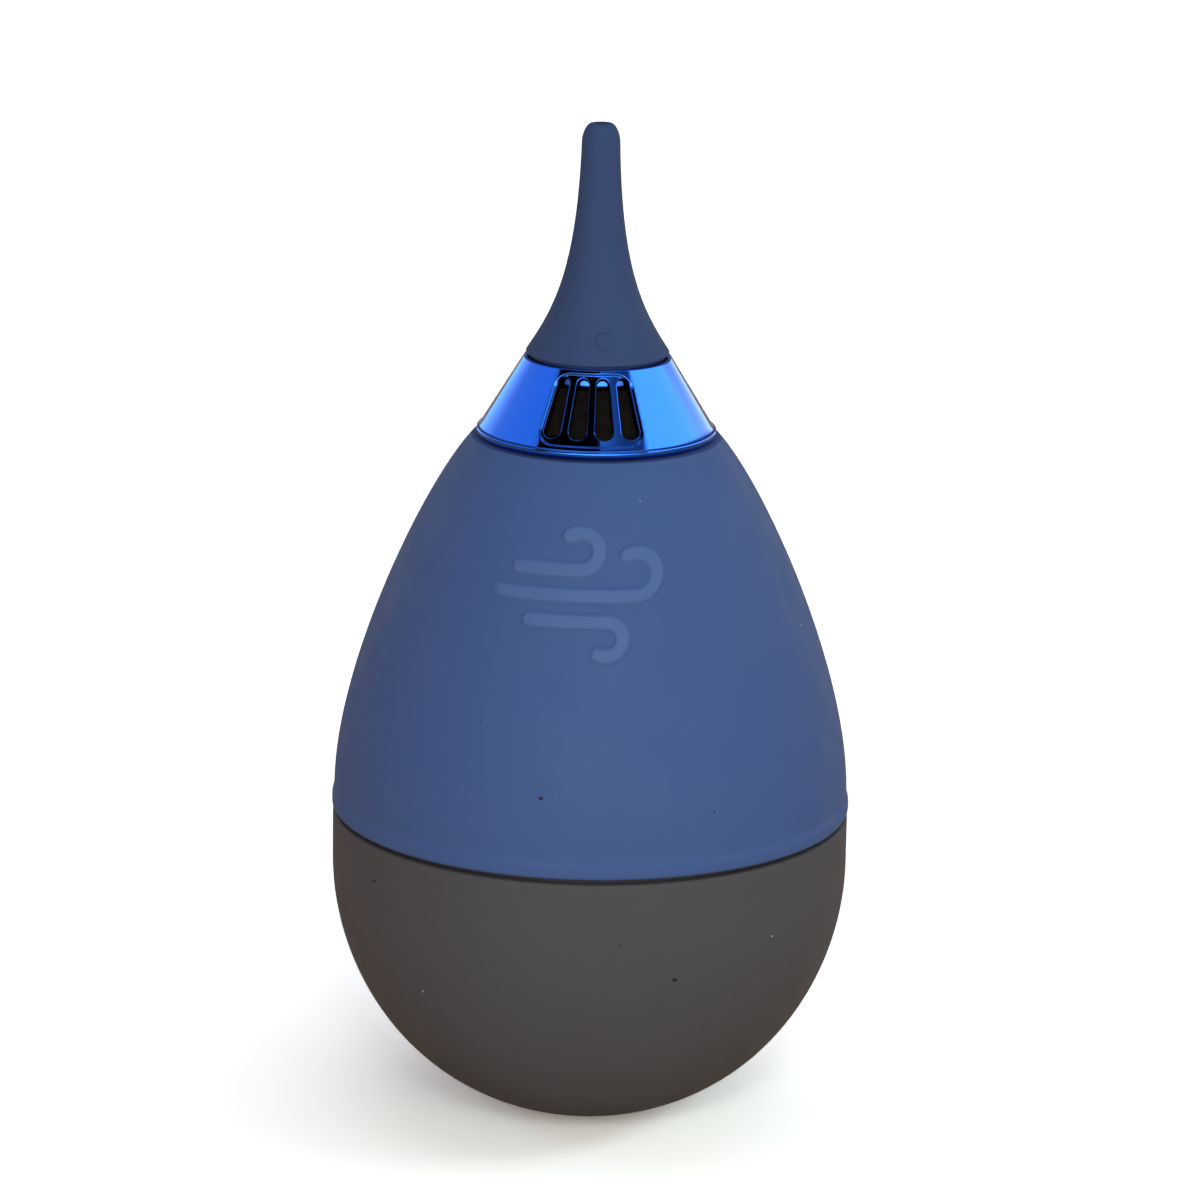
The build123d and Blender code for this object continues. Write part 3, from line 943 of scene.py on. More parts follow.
# ---------------------------------------------------------------- sub-assemblies
@dataclass
class Dust:
    """Crumbs of lint that have settled on a piece.

    Attributes:
        crumbs: (angle in degrees, height, size) of each, in millimetres.
        flatness: a crumb's thickness as a share of its width.
        lift: how far its middle lies off the skin, as a share of its width.
    """

    crumbs: tuple[tuple[float, float, float], ...]
    flatness: float = 0.35
    lift: float = 0.08

    @staticmethod
    def tree() -> Tree:
        """The Geometry Nodes tree that scatters crumbs over points, made once."""
        known = bpy.data.node_groups.get("dust")
        if known:
            return known
        tree, given = new_geometry_tree(
            "dust",
            {
                "Geometry": "NodeSocketGeometry",
                "Flatness": "NodeSocketFloat",
                "Seed": "NodeSocketInt",
                "Material": "NodeSocketMaterial",
            },
        )
        crumb = add(tree, "GeometryNodeMeshIcoSphere", values={"Radius": 0.5, "Subdivisions": 2})
        kind, settings = "GeometryNodeInputNamedAttribute", {"data_type": "FLOAT"}
        size = add(tree, kind, settings, {"Name": "size"}).outputs[0]
        flat = maths(tree, "MULTIPLY", size, given.outputs["Flatness"])
        long = add(
            tree,
            "FunctionNodeRandomValue",
            {"data_type": "FLOAT"},
            {2: 0.6, 3: 1.0},
            {"Seed": given.outputs["Seed"]},
        )
        wide = maths(tree, "MULTIPLY", size, long.outputs[1])
        shape = add(tree, "ShaderNodeCombineXYZ", links={0: size, 1: wide, 2: flat})
        facing = add(
            tree,
            "FunctionNodeAlignRotationToVector",
            {"axis": "Z"},
            links={"Vector": add(tree, "GeometryNodeInputNormal").outputs[0]},
        )
        spin = add(
            tree,
            "FunctionNodeRandomValue",
            {"data_type": "FLOAT"},
            {2: 0.0, 3: math.tau},
            {"Seed": given.outputs["Seed"]},
        )
        spun = add(tree, "ShaderNodeCombineXYZ", links={2: spin.outputs[1]})
        turned = add(
            tree,
            "FunctionNodeRotateRotation",
            {"rotation_space": "LOCAL"},
            links={0: facing.outputs[0], 1: spun.outputs[0]},
        )
        strewn = add(
            tree,
            "GeometryNodeInstanceOnPoints",
            links={
                "Points": given.outputs["Geometry"],
                "Instance": crumb.outputs[0],
                "Rotation": turned.outputs[0],
                "Scale": shape.outputs[0],
            },
        )
        end_tree(tree, given, strewn.outputs[0])
        return tree

    def settle(
        self, name: str, skin: Sequence[Pair], finish: Finish, seed: int
    ) -> bpy.types.Object:
        """Strews the crumbs over a turned skin.

        Args:
            name: the new piece's name.
            skin: the skin's outline, rising all the way.
            finish: what the crumbs are.
            seed: seed for their turns and widths.

        Returns:
            The crumbs as one piece.
        """
        angles, heights, widths = np.array(self.crumbs).T
        turns = np.radians(angles)
        reach = Skin.of(skin).radius_at(heights) + self.lift * widths
        points = np.stack([reach * np.sin(turns), -reach * np.cos(turns), heights], -1)
        mesh = bpy.data.meshes.new(name + "_places")
        mesh.from_pydata((points * MM).tolist(), [], [])
        sizes = mesh.attributes.new("size", "FLOAT", "POINT")
        sizes.data.foreach_set("value", widths * MM)
        return grown(
            name,
            mesh,
            self.tree(),
            {"Flatness": self.flatness, "Seed": seed, "Material": finish.material()},
        )


@dataclass
class Bulb:
    """Soft air bulb: lip over the seam, egg-shaped side, neck and the skirt inside the base.

    Heights of the groove inside the skirt are measured from the lip's bottom edge, and the turn
    that the mark may reach is in radians.
    """

    radius: float = 33.0
    lip_bottom: float = 39.775
    lip_land: float = 1.2
    lip_height: float = 2.5
    lip_rounding: float = 0.5
    side_radius: float = 32.72
    side_pull: float = 14.8
    neck_pull: float = 9.0
    neck_slope: float = 41.9
    neck_radius: float = 15.7
    neck_hole: float = 10.0
    top: float = 88.0
    wall: float = 2.5
    skirt_outer: float = 29.15
    skirt_inner: float = 27.05
    skirt_bottom: float = 34.5
    mark_height: float = 74.2
    mark_reach: float = 14.0
    mark_turn: float = 0.6
    mark_half: float = 9.5
    mark_step: float = 0.21
    plain_step: float = 0.7
    groove_depth: float = 1.1
    groove_top: float = 2.3
    groove_bottom: float = 0.5
    groove_lead: float = 2.1
    mark: BreezeMark = field(default_factory=BreezeMark)
    lathe: Lathe = Lathe(front_angle=25.5, front_columns=140, back_columns=130)

    def side(self) -> list[Pair]:
        """The side's outline from the lip's bottom edge to the neck."""
        land_top = self.lip_bottom + self.lip_land
        side_bottom = self.lip_bottom + self.lip_height
        halfway = (land_top + side_bottom) / 2
        slope = math.radians(self.neck_slope)
        lip = rounded(
            [
                (self.skirt_outer, self.lip_bottom, 0),
                (self.radius, self.lip_bottom, self.lip_rounding),
                (self.radius, land_top, 0),
            ]
        )
        flare = bezier(
            [
                (self.radius, land_top),
                (self.radius, halfway),
                (self.side_radius, halfway),
                (self.side_radius, side_bottom),
            ],
            10,
        )
        egg = bezier(
            [
                (self.side_radius, side_bottom),
                (self.side_radius, side_bottom + self.side_pull),
                (
                    self.neck_radius + self.neck_pull * math.sin(slope),
                    self.top - self.neck_pull * math.cos(slope),
                ),
                (self.neck_radius, self.top),
            ],
            CURVE_SPANS,
        )
        return lip + flare[1:] + respaced(egg, self.row_step)[1:]

    def row_step(self, height: float) -> float:
        """Row spacing at a height: fine across the mark."""
        near = abs(height - self.mark_height) < self.mark_half
        return self.mark_step if near else self.plain_step

    def outline(self) -> list[Pair]:
        """The whole closed outline."""
        side = self.side()
        egg = [p for p in side if p[1] > self.lip_bottom + self.lip_height][::12]
        inner = moved_in(egg, self.wall)[::-1]
        inner = [p for p in inner if self.lip_bottom + 6 < p[1] < self.top - self.wall]
        groove = self.skirt_inner - self.groove_depth
        return [
            *side,
            (self.neck_hole, self.top),
            (self.neck_hole, self.top - self.wall),
            *inner,
            (self.skirt_inner, self.lip_bottom + self.groove_top + self.groove_lead),
            (groove, self.lip_bottom + self.groove_top),
            (groove, self.lip_bottom + self.groove_bottom),
            (self.skirt_inner, self.lip_bottom + self.groove_bottom - 0.1),
            (self.skirt_inner, self.skirt_bottom),
            (self.skirt_outer, self.skirt_bottom),
            (self.skirt_outer, self.lip_bottom),
        ]

    def emboss(self, piece: bpy.types.Object, side: Sequence[Pair]) -> None:
        """Raises the mark out of the turned bulb and records where it is polished, which also gets
        a painted highlight.

        Args:
            piece: the turned bulb.
            side: its side's outline.
        """
        skin = Skin.of([p for p in side if p[1] > self.lip_bottom + self.lip_height])
        points = positions(piece.data)
        turn, reach, up, on_skin = skin.unrolled(points, self.mark_height)
        on_skin &= (points[:, 2] > skin.heights[0]) & (np.abs(up) < self.mark_reach)
        on_skin &= np.abs(turn) < self.mark_turn
        rise = np.where(on_skin, self.mark.rise(turn * reach, up), 0.0)
        ways = skin.out(turn, points[:, 2])
        set_positions(piece.data, points + (rise * self.mark.proud)[:, None] * ways)
        # The mark's share lowers the roughness and also paints a lighter colour, a painted
        # highlight.
        polish = piece.data.attributes.new("polish", "FLOAT", "POINT")
        polish.data.foreach_set("value", rise.astype(np.float32))

    def build(self) -> list[bpy.types.Object]:
        """Makes the bulb and the lint on it."""
        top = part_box("bulb")[1]
        self.top, self.radius = top.z / MM, top.x / MM
        side = self.side()
        piece = self.lathe.turn("bulb_skin", self.outline(), BULB_SILICONE)
        self.emboss(piece, side)
        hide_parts("bulb")
        skin = [p for p in side if p[1] > self.lip_bottom + 1]
        dark = Dust(
            (
                (-7.9, 49.8, 0.55),
                (-24.0, 58.0, 0.3),
                (31.0, 47.5, 0.3),
                (140.0, 60.0, 0.4),
                (-120.0, 52.0, 0.35),
            )
        )
        pale = Dust(((20.0, 83.9, 0.35), (205.0, 70.0, 0.3), (75.0, 66.0, 0.3)))
        made = [
            piece,
            dark.settle("bulb_lint_dark", skin, DARK_DUST, 3),
            pale.settle("bulb_lint_pale", skin, PALE_DUST, 4),
        ]
        for each in made:
            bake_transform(each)
        return made


@dataclass
class Base:
    """Round weighted base: silicone skin over a hard shell."""

    radius: float = 32.9
    top: float = 39.225
    upright: float = 32.8
    side_pull: float = 16.2
    floor_pull: float = 21.0
    foot_depth: float = 0.6
    wall: float = 2.0
    edge_rounding: float = 0.4
    row_step: float = 0.8
    lathe: Lathe = Lathe(front_angle=30, front_columns=40, back_columns=180)

    def side(self) -> list[Pair]:
        """The skin's outline from the foot's edge to its top edge."""
        curve = bezier(
            [
                (0, -self.foot_depth),
                (self.floor_pull, -self.foot_depth),
                (self.radius, self.upright - self.side_pull),
                (self.radius, self.upright),
            ],
            CURVE_SPANS,
        )
        above = [p for p in curve if p[1] > 0]
        radii, heights = np.array(curve).T
        foot = (float(np.interp(0.0, heights, radii)), 0.0)
        edge = rounded(
            [
                (self.radius, self.upright, 0),
                (self.radius, self.top, self.edge_rounding),
                (self.radius - self.wall, self.top, 0),
            ]
        )
        return respaced([foot, *above], lambda height: self.row_step) + edge[1:]

    def outline(self) -> list[Pair]:
        """The whole outline, from the foot's middle round to the axis inside."""
        side = self.side()
        below = [p for p in side if p[1] <= self.upright]
        inner = [p for p in moved_in(below, self.wall)[::-1] if p[0] > 1]
        floor = inner[-1][1]
        foot = [(r, 0) for r in (0.0, 2.0, 4.0, 6.0) if r < side[0][0]]
        return [*foot, *side, *inner, (0, floor)]

    def build(self) -> list[bpy.types.Object]:
        """Makes the base's skin and the lint on it."""
        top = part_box("base_skin")[1]
        self.radius, self.top = top.x / MM, top.z / MM
        piece = self.lathe.turn("base_skin_cup", self.outline(), BASE_SILICONE)
        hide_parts("base_skin")
        skin = [p for p in self.side() if 0.5 < p[1] < self.upright + 1]
        dark = Dust(
            (
                (22.3, 26.5, 0.7),
                (-51.3, 35.0, 0.5),
                (10.0, 31.5, 0.3),
                (160.0, 24.0, 0.5),
                (-110.0, 18.0, 0.4),
            )
        )
        pale = Dust(((47.0, 30.0, 0.3), (-38.0, 22.0, 0.3), (95.0, 27.0, 0.35)))
        made = [
            piece,
            dark.settle("base_lint_dark", skin, DARK_DUST, 5),
            pale.settle("base_lint_pale", skin, PALE_DUST, 6),
        ]
        for each in made:
            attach(each, "base")
        return made


@dataclass
class Nozzle:
    """Soft flared nozzle with its heel, open mouth and index pip."""

    register_radius: float = 8.35
    bottom: float = 97.9
    heel_bottom: float = 98.42
    foot_radius: float = 8.95
    foot: float = 98.95
    foot_round: float = 0.3
    foot_pull: Pair = (3.28, 5.0)
    stem_pull: Pair = (0.4, 16.3)
    stem_radius: float = 2.4
    stem_drop: float = 2.2
    tip_round: float = 0.9
    tip: float = 127.6
    mouth: float = 1.25
    mouth_rounding: float = 0.12
    tip_bore: float = 1.1
    tip_bore_length: float = 8.0
    bore: float = 1.5
    core_radius: float = 6.65
    core_top: float = 99.55
    core_neck: float = 3.9
    core_end: float = 106.5
    core_chamfer: float = 0.95
    pip_angle: float = 9.0
    pip_height: float = 101.5
    pip_radius: float = 1.15
    pip_proud: float = 0.42
    pip_roundness: float = 0.8
    pip_row: int = 5
    pip_half: float = 1.6
    pip_step: float = 0.12
    plain_step: float = 0.4
    lathe: Lathe = Lathe(front_angle=21, front_columns=52, back_columns=110)

    def side(self) -> list[Pair]:
        """The outline from the foot's widest point to the mouth."""
        stem_top = self.tip - self.stem_drop
        flare = bezier(
            [
                (self.foot_radius, self.foot),
                (self.foot_radius - self.foot_pull[0], self.foot + self.foot_pull[1]),
                (self.stem_radius + self.stem_pull[0], stem_top - self.stem_pull[1]),
                (self.stem_radius, stem_top),
            ],
            CURVE_SPANS,
        )
        lean = math.atan2(self.stem_pull[0], self.stem_pull[1])
        shoulder = bezier(
            [
                (self.stem_radius, stem_top),
                (
                    self.stem_radius - self.tip_round * math.sin(lean),
                    stem_top + self.tip_round * math.cos(lean),
                ),
                ((self.stem_radius + self.mouth) / 2, self.tip),
                (self.mouth, self.tip),
            ],
            14,
        )
        return respaced(flare, self.row_step) + shoulder[1:]

    def row_step(self, height: float) -> float:
        """Row spacing at a height: fine across the pip."""
        near = abs(height - self.pip_height) < self.pip_half
        return self.pip_step if near else self.plain_step

    def outline(self) -> list[Pair]:
        """The whole closed outline, with the heel, the bore and the seat of the core."""
        run, rise = self.foot_pull
        along = math.hypot(run, rise)
        heel = bezier(
            [
                (self.register_radius, self.heel_bottom),
                (self.register_radius + self.foot_round, self.heel_bottom),
                (
                    self.foot_radius + self.foot_round * run / along,
                    self.foot - self.foot_round * rise / along,
                ),
                (self.foot_radius, self.foot),
            ],
            10,
        )
        deep = self.tip - self.tip_bore_length
        mouth = rounded(
            [
                (self.mouth, self.tip, 0),
                (self.tip_bore, self.tip, self.mouth_rounding),
                (self.tip_bore, deep, 0),
            ]
        )
        return [
            (self.core_radius, self.bottom),
            (self.register_radius, self.bottom),
            *heel,
            *self.side()[1:],
            *mouth[1:],
            (self.bore, deep - self.bore),
            (self.bore, self.core_end),
            (self.core_neck, self.core_end),
            (self.core_neck + self.core_chamfer, self.core_top + self.core_chamfer),
            (self.core_radius, self.core_top),
            (self.core_radius, self.bottom),
        ]

    def raise_pip(self, piece: bpy.types.Object) -> None:
        """Raises the index pip out of the turned nozzle."""
        side = [p for p in self.side() if p[1] < self.tip - self.stem_drop]
        skin = Skin.of(side, float(Skin.of(side).leans()[self.pip_row]))
        points = positions(piece.data)
        turn, reach, up, on_skin = skin.unrolled(points, self.pip_height)
        gap = np.hypot((turn - math.radians(self.pip_angle)) * reach, up)
        near = on_skin & (gap < self.pip_radius) & (points[:, 2] > self.foot)
        share = np.clip(gap / self.pip_radius, 0, 1)
        rise = np.where(near, self.pip_proud * np.sqrt(1 - share**2) ** self.pip_roundness, 0.0)
        set_positions(piece.data, points + rise[:, None] * skin.out(turn, points[:, 2]))

    def build(self) -> list[bpy.types.Object]:
        """Makes the nozzle."""
        low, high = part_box("nozzle")
        self.bottom, self.tip = low.z / MM, high.z / MM
        piece = self.lathe.turn("nozzle_soft", self.outline(), NOZZLE_SILICONE)
        self.raise_pip(piece)
        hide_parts("nozzle")
        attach(piece, "nozzle")
        return [piece]


@dataclass(frozen=True)
class Slope:
    """The collar's conical face, whose places are a turn from the front and a distance up it.

    Attributes:
        radius: its radius at its lower edge.
        height: height of that edge.
        lean: how far it leans in from upright, in radians.
    """

    radius: float
    height: float
    lean: float

    def frame_at(self, turn: np.ndarray) -> tuple[np.ndarray, np.ndarray, np.ndarray]:
        """Directions out of the face, up the slope and sideways, at each turn."""
        sine, cosine = np.sin(turn), np.cos(turn)
        level, steep = math.cos(self.lean), math.sin(self.lean)
        out = np.stack([level * sine, -level * cosine, np.full_like(turn, steep)], -1)
        up = np.stack([-steep * sine, steep * cosine, np.full_like(turn, level)], -1)
        side = np.stack([cosine, sine, np.zeros_like(turn)], -1)
        return out, up, side

    def place(
        self, turn: np.ndarray, slant: np.ndarray, depth: np.ndarray | float = 0.0
    ) -> np.ndarray:
        """Places on the face, or behind it, in millimetres.

        Args:
            turn: turns from the front, in radians.
            slant: distances up the slope.
            depth: distances behind the face.

        Returns:
            The places, one row each.
        """
        reach = self.radius - slant * math.sin(self.lean) - depth * math.cos(self.lean)
        rise = self.height + slant * math.cos(self.lean) - depth * math.sin(self.lean)
        return np.stack([reach * np.sin(turn), -reach * np.cos(turn), rise], -1)

    def flat(self, turn: np.ndarray, slant: np.ndarray) -> np.ndarray:
        """Where places on the face lie once it is unrolled about its apex."""
        reach = self.radius / math.sin(self.lean) - slant
        spread = turn * math.sin(self.lean)
        return np.stack([reach * np.sin(spread), -reach * np.cos(spread)], -1)

    def folded(self, flat: np.ndarray) -> tuple[np.ndarray, np.ndarray]:
        """Turns and slants of places on the unrolled face."""
        turn = np.arctan2(flat[..., 0], -flat[..., 1]) / math.sin(self.lean)
        return turn, self.radius / math.sin(self.lean) - np.hypot(flat[..., 0], flat[..., 1])


@dataclass(frozen=True)
class Vent:
    """One tapered slot with round ends.

    Attributes:
        turn: its turn from the front, in radians.
        low_slant: how far up the slope the centre of its lower end lies.
        high_slant: how far up the centre of its upper end lies.
        low_radius: radius of its lower end.
        high_radius: radius of its upper end.
    """

    turn: float
    low_slant: float
    high_slant: float
    low_radius: float
    high_radius: float

    @property
    def taper(self) -> float:
        """Sine of the angle that the sides lean in by."""
        return (self.low_radius - self.high_radius) / (self.high_slant - self.low_slant)

    def axes(self, slope: Slope) -> tuple[np.ndarray, np.ndarray, np.ndarray]:
        """The slot's lower centre on the unrolled face, and its directions across and along."""
        spread = self.turn * math.sin(slope.lean)
        sine, cosine = math.sin(spread), math.cos(spread)
        centre = slope.flat(np.array(self.turn), np.array(self.low_slant))
        return centre, np.array([cosine, sine]), np.array([-sine, cosine])

    def local(self, flat: np.ndarray, slope: Slope) -> np.ndarray:
        """Unrolled places seen from the slot's lower centre, across it and along it."""
        centre, across, along = self.axes(slope)
        return np.stack([(flat - centre) @ across, (flat - centre) @ along], -1)

    def distance(self, flat: np.ndarray, slope: Slope) -> np.ndarray:
        """Distance from the slot's edge, negative inside it."""
        spot = self.local(flat, slope)
        x, y = np.abs(spot[..., 0]), spot[..., 1]
        length = self.high_slant - self.low_slant
        sine = self.taper
        cosine = math.sqrt(1 - sine * sine)
        along = y * cosine - x * sine
        low = np.hypot(x, y) - self.low_radius
        high = np.hypot(x, y - length) - self.high_radius
        side = x * cosine + y * sine - self.low_radius
        return np.where(along < 0, low, np.where(along > cosine * length, high, side))

    def loop(self, slope: Slope, offset: float, arc: int = 16, straight: int = 22) -> np.ndarray:
        """A closed line round the slot on the unrolled face.

        Args:
            slope: the face.
            offset: how far outside the slot's edge the line runs.
            arc: spans round each end.
            straight: spans along each side.

        Returns:
            The line's places, in order.
        """
        length = self.high_slant - self.low_slant
        lift = math.asin(self.taper)
        upper = np.linspace(lift, math.pi - lift, arc + 1)
        lower = np.linspace(math.pi - lift, math.tau + lift, arc + 5)
        top = np.stack([np.cos(upper), np.sin(upper)], 1) * (self.high_radius + offset)
        top += (0, length)
        base = np.stack([np.cos(lower), np.sin(lower)], 1) * (self.low_radius + offset)
        shares = np.linspace(0, 1, straight + 1)[1:-1, None]
        left = top[-1] + shares * (base[0] - top[-1])
        right = base[-1] + shares * (top[0] - base[-1])
        local = np.vstack([top, left, base, right])
        centre, across, along = self.axes(slope)
        return centre + local[:, :1] * across + local[:, 1:] * along


@dataclass
class Collar:
    """Plated conical cover: band, vents in a shallow pocket, rim and the deck under the nozzle."""

    bottom: float = 88.2
    bottom_radius: float = 15.7
    top: float = 98.3
    top_radius: float = 9.2
    wall: float = 1.1
    band_height: float = 1.1
    band_proud: float = 0.2
    band_slope: float = 0.15
    band_rounding: float = 0.5
    band_fillet: float = 0.12
    foot_rounding: float = 0.62
    rim_width: float = 0.75
    rim_height: float = 0.45
    rim_rounding: float = 0.36
    rim_inner_rounding: float = 0.2
    deck_thickness: float = 1.95
    deck_hole: float = 3.1
    deck_edge: float = 9.1
    deck_rounding: float = 0.35
    deck_taper: float = 0.27
    pocket_depth: float = 0.22
    pocket_half_angle: float = 27.8
    pocket_lower: float = 1.55
    pocket_drop: float = 0.5
    pocket_corner: float = 2.0
    pocket_edge: float = 0.34
    vent_count: int = 4
    vent_pitch: float = 14.4
    vent_lower: float = 2.35
    vent_drop: float = 0.9
    vent_low_radius: float = 1.15
    vent_high_radius: float = 0.8
    vent_rounding: float = 0.15
    patch_angle: float = 30.0
    patch_rows: int = 20
    patch_reach: float = 12.0
    patch_foot: float = 0.25
    patch_drop: float = 0.31
    pocket_lines: int = 9
    vent_margin: float = 0.12
    line_clear: float = 0.04
    fill_spacing: float = 0.5
    fill_clear: float = 0.15
    face_reach: float = 0.02
    lathe: Lathe = Lathe(front_angle=30, front_columns=40, back_columns=200)

    @property
    def lean(self) -> float:
        """How far the cone's side leans in from upright."""
        run = self.bottom_radius - self.band_proud - self.top_radius
        return math.atan2(run, self.top - self.bottom)

    def cone(self, height: float, inset: float = 0.0) -> float:
        """Radius of the cone at a height, or of the cone inside it."""
        radius = self.top_radius + (self.top - height) * math.tan(self.lean)
        return radius - inset / math.cos(self.lean)

    def slope(self) -> Slope:
        """The conical face above the band."""
        height = self.bottom + self.band_height
        return Slope(self.cone(height), height, self.lean)

    def slants(self) -> np.ndarray:
        """Distances up the slope of the rows that the vented patch shares with the turned part."""
        full = (self.top - self.bottom - self.band_height) / math.cos(self.lean)
        return np.linspace(self.patch_foot, full - self.patch_drop, self.patch_rows + 1)

    def outline(self) -> list[Pair]:
        """The closed outline without the vents."""
        slope, slants = self.slope(), self.slants()
        front = np.zeros_like(slants)
        face = [(-float(p[1]), float(p[2])) for p in slope.place(front, slants)]
        behind = [(-float(p[1]), float(p[2])) for p in slope.place(front, slants, self.wall)][::-1]
        band_top = self.bottom + self.band_height
        band_edge = band_top - self.band_slope
        deck_top = self.top - self.rim_height
        deck_bottom = deck_top - self.deck_thickness
        height = behind[0][1] - deck_bottom
        foot = rounded(
            [
                (self.cone(self.bottom, self.wall), self.bottom, 0),
                (self.bottom_radius, self.bottom, self.foot_rounding),
                (self.cone(band_edge) + self.band_proud, band_edge, self.band_rounding),
                (self.cone(band_top), band_top + 0.02, self.band_fillet),
                (*face[0], 0),
            ],
            7,
        )
        rim = rounded(
            [
                (*face[-1], 0),
                (self.top_radius, self.top, self.rim_rounding),
                (self.top_radius - self.rim_width, self.top, self.rim_inner_rounding),
                (self.top_radius - self.rim_width, deck_top, 0),
            ],
            7,
        )
        return [
            *foot,
            *face[1:],
            *rim[1:],
            (self.deck_hole, deck_top),
            (self.deck_hole, deck_bottom),
            *rounded(
                [
                    (self.deck_hole, deck_bottom, 0),
                    (self.deck_edge, deck_bottom, self.deck_rounding),
                    (self.deck_edge - self.deck_taper * height, deck_bottom + height, 0),
                ],
                8,
            )[1:],
            *behind,
            foot[0],
        ]

    def vents(self) -> list[Vent]:
        """The slots, evenly spaced about the front."""
        slope = self.slope()
        low = (self.bottom + self.vent_lower - slope.height) / math.cos(self.lean)
        high = (self.top - self.vent_drop - slope.height) / math.cos(self.lean)
        ends = (low + self.vent_low_radius, high - self.vent_high_radius)
        middle = (self.vent_count - 1) / 2
        turns = [math.radians((i - middle) * self.vent_pitch) for i in range(self.vent_count)]
        return [Vent(turn, *ends, self.vent_low_radius, self.vent_high_radius) for turn in turns]

    @property
    def pocket_slants(self) -> Pair:
        """Distances up the slope of the pocket's lower and upper edges."""
        start, share = self.slope().height, math.cos(self.lean)
        low, high = self.bottom + self.pocket_lower, self.top - self.pocket_drop
        return (low - start) / share, (high - start) / share

    def pocket_line(self, offset: float, spacing: float = 0.1) -> np.ndarray:
        """Places all the way round the pocket, beside its edge.

        Args:
            offset: distance outside the edge.
            spacing: distance between places.

        Returns:
            The places on the unrolled face.
        """
        slope, (low, high) = self.slope(), self.pocket_slants
        half, radius = math.radians(self.pocket_half_angle), self.pocket_corner + offset
        rise = (high - low) / 2 - self.pocket_corner
        width = half * slope.radius - self.pocket_corner
        arc = np.linspace(0, math.pi / 2, math.ceil(radius * math.pi / 2 / spacing))
        side = np.linspace(-rise, 0, math.ceil(rise / spacing))
        share = np.linspace(0, 1, math.ceil(width / spacing))
        up = np.concatenate([side, radius * np.sin(arc), np.full_like(share, radius)]) + rise
        places = []
        for way in (-1, 1):
            slant = (low + high) / 2 + way * up
            reach = slope.radius - slant * math.sin(self.lean)
            over = share * (self.pocket_corner - half * reach[-1])
            across = np.concatenate([np.full_like(side, radius), radius * np.cos(arc), over])
            turn = half + (across - self.pocket_corner) / reach
            places += [slope.flat(turn, slant), slope.flat(-turn, slant)]
        return np.unique(np.round(np.vstack(places), 6), axis=0)

    def pocket_distance(self, flat: np.ndarray) -> np.ndarray:
        """Distance from the pocket's edge, negative inside it."""
        slope = self.slope()
        turn, slant = slope.folded(flat)
        reach = slope.radius - slant * math.sin(self.lean)
        low, high = self.pocket_slants
        x = (np.abs(turn) - math.radians(self.pocket_half_angle)) * reach + self.pocket_corner
        y = np.abs(slant - (low + high) / 2) - (high - low) / 2 + self.pocket_corner
        outside = np.hypot(np.maximum(x, 0), np.maximum(y, 0))
        return np.minimum(np.maximum(x, y), 0) + outside - self.pocket_corner

    def pocket_at(self, flat: np.ndarray) -> np.ndarray:
        """Depth of the pocket at unrolled places."""
        half = self.pocket_edge / 2
        return self.pocket_depth * (1 - smoothstep(-half, half, self.pocket_distance(flat)))

    def vent_gap(self, flat: np.ndarray) -> np.ndarray:
        """Distance from the nearest slot's edge, negative inside a slot."""
        slope = self.slope()
        return np.min([vent.distance(flat, slope) for vent in self.vents()], axis=0)

    def surface(self, flat: np.ndarray) -> tuple[np.ndarray, np.ndarray, np.ndarray]:
        """The vented face at unrolled places.

        Args:
            flat: the places.

        Returns:
            Their places in the frame, their normals, and the directions away from the nearest slot.
        """
        slope = self.slope()
        turn, slant = slope.folded(flat)
        out, up, side = slope.frame_at(turn)
        spread = turn * math.sin(self.lean)
        step = 0.004
        rising = step * np.stack([-np.sin(spread), np.cos(spread)], -1)
        sideways = step * np.stack([np.cos(spread), np.sin(spread)], -1)

        def tilt(height: Callable[[np.ndarray], np.ndarray]) -> np.ndarray:
            """Slope of a quantity over the face, as a direction in the frame."""
            rise = (height(flat + rising) - height(flat - rising)) / (2 * step)
            run = (height(flat + sideways) - height(flat - sideways)) / (2 * step)
            return rise[:, None] * up + run[:, None] * side

        gap = self.vent_gap(flat)
        away = tilt(self.vent_gap)
        away /= np.maximum(np.linalg.norm(away, axis=1), 1e-9)[:, None]
        edge = np.clip((self.vent_rounding - gap) / self.vent_rounding, 0, 1)
        drop = self.vent_rounding * (1 - np.sqrt(1 - edge**2))
        depth = self.pocket_at(flat) + drop
        normal = out * np.sqrt(1 - edge**2)[:, None] - away * edge[:, None] + tilt(self.pocket_at)
        normal /= np.linalg.norm(normal, axis=1)[:, None]
        return slope.place(turn, slant, depth), normal, away

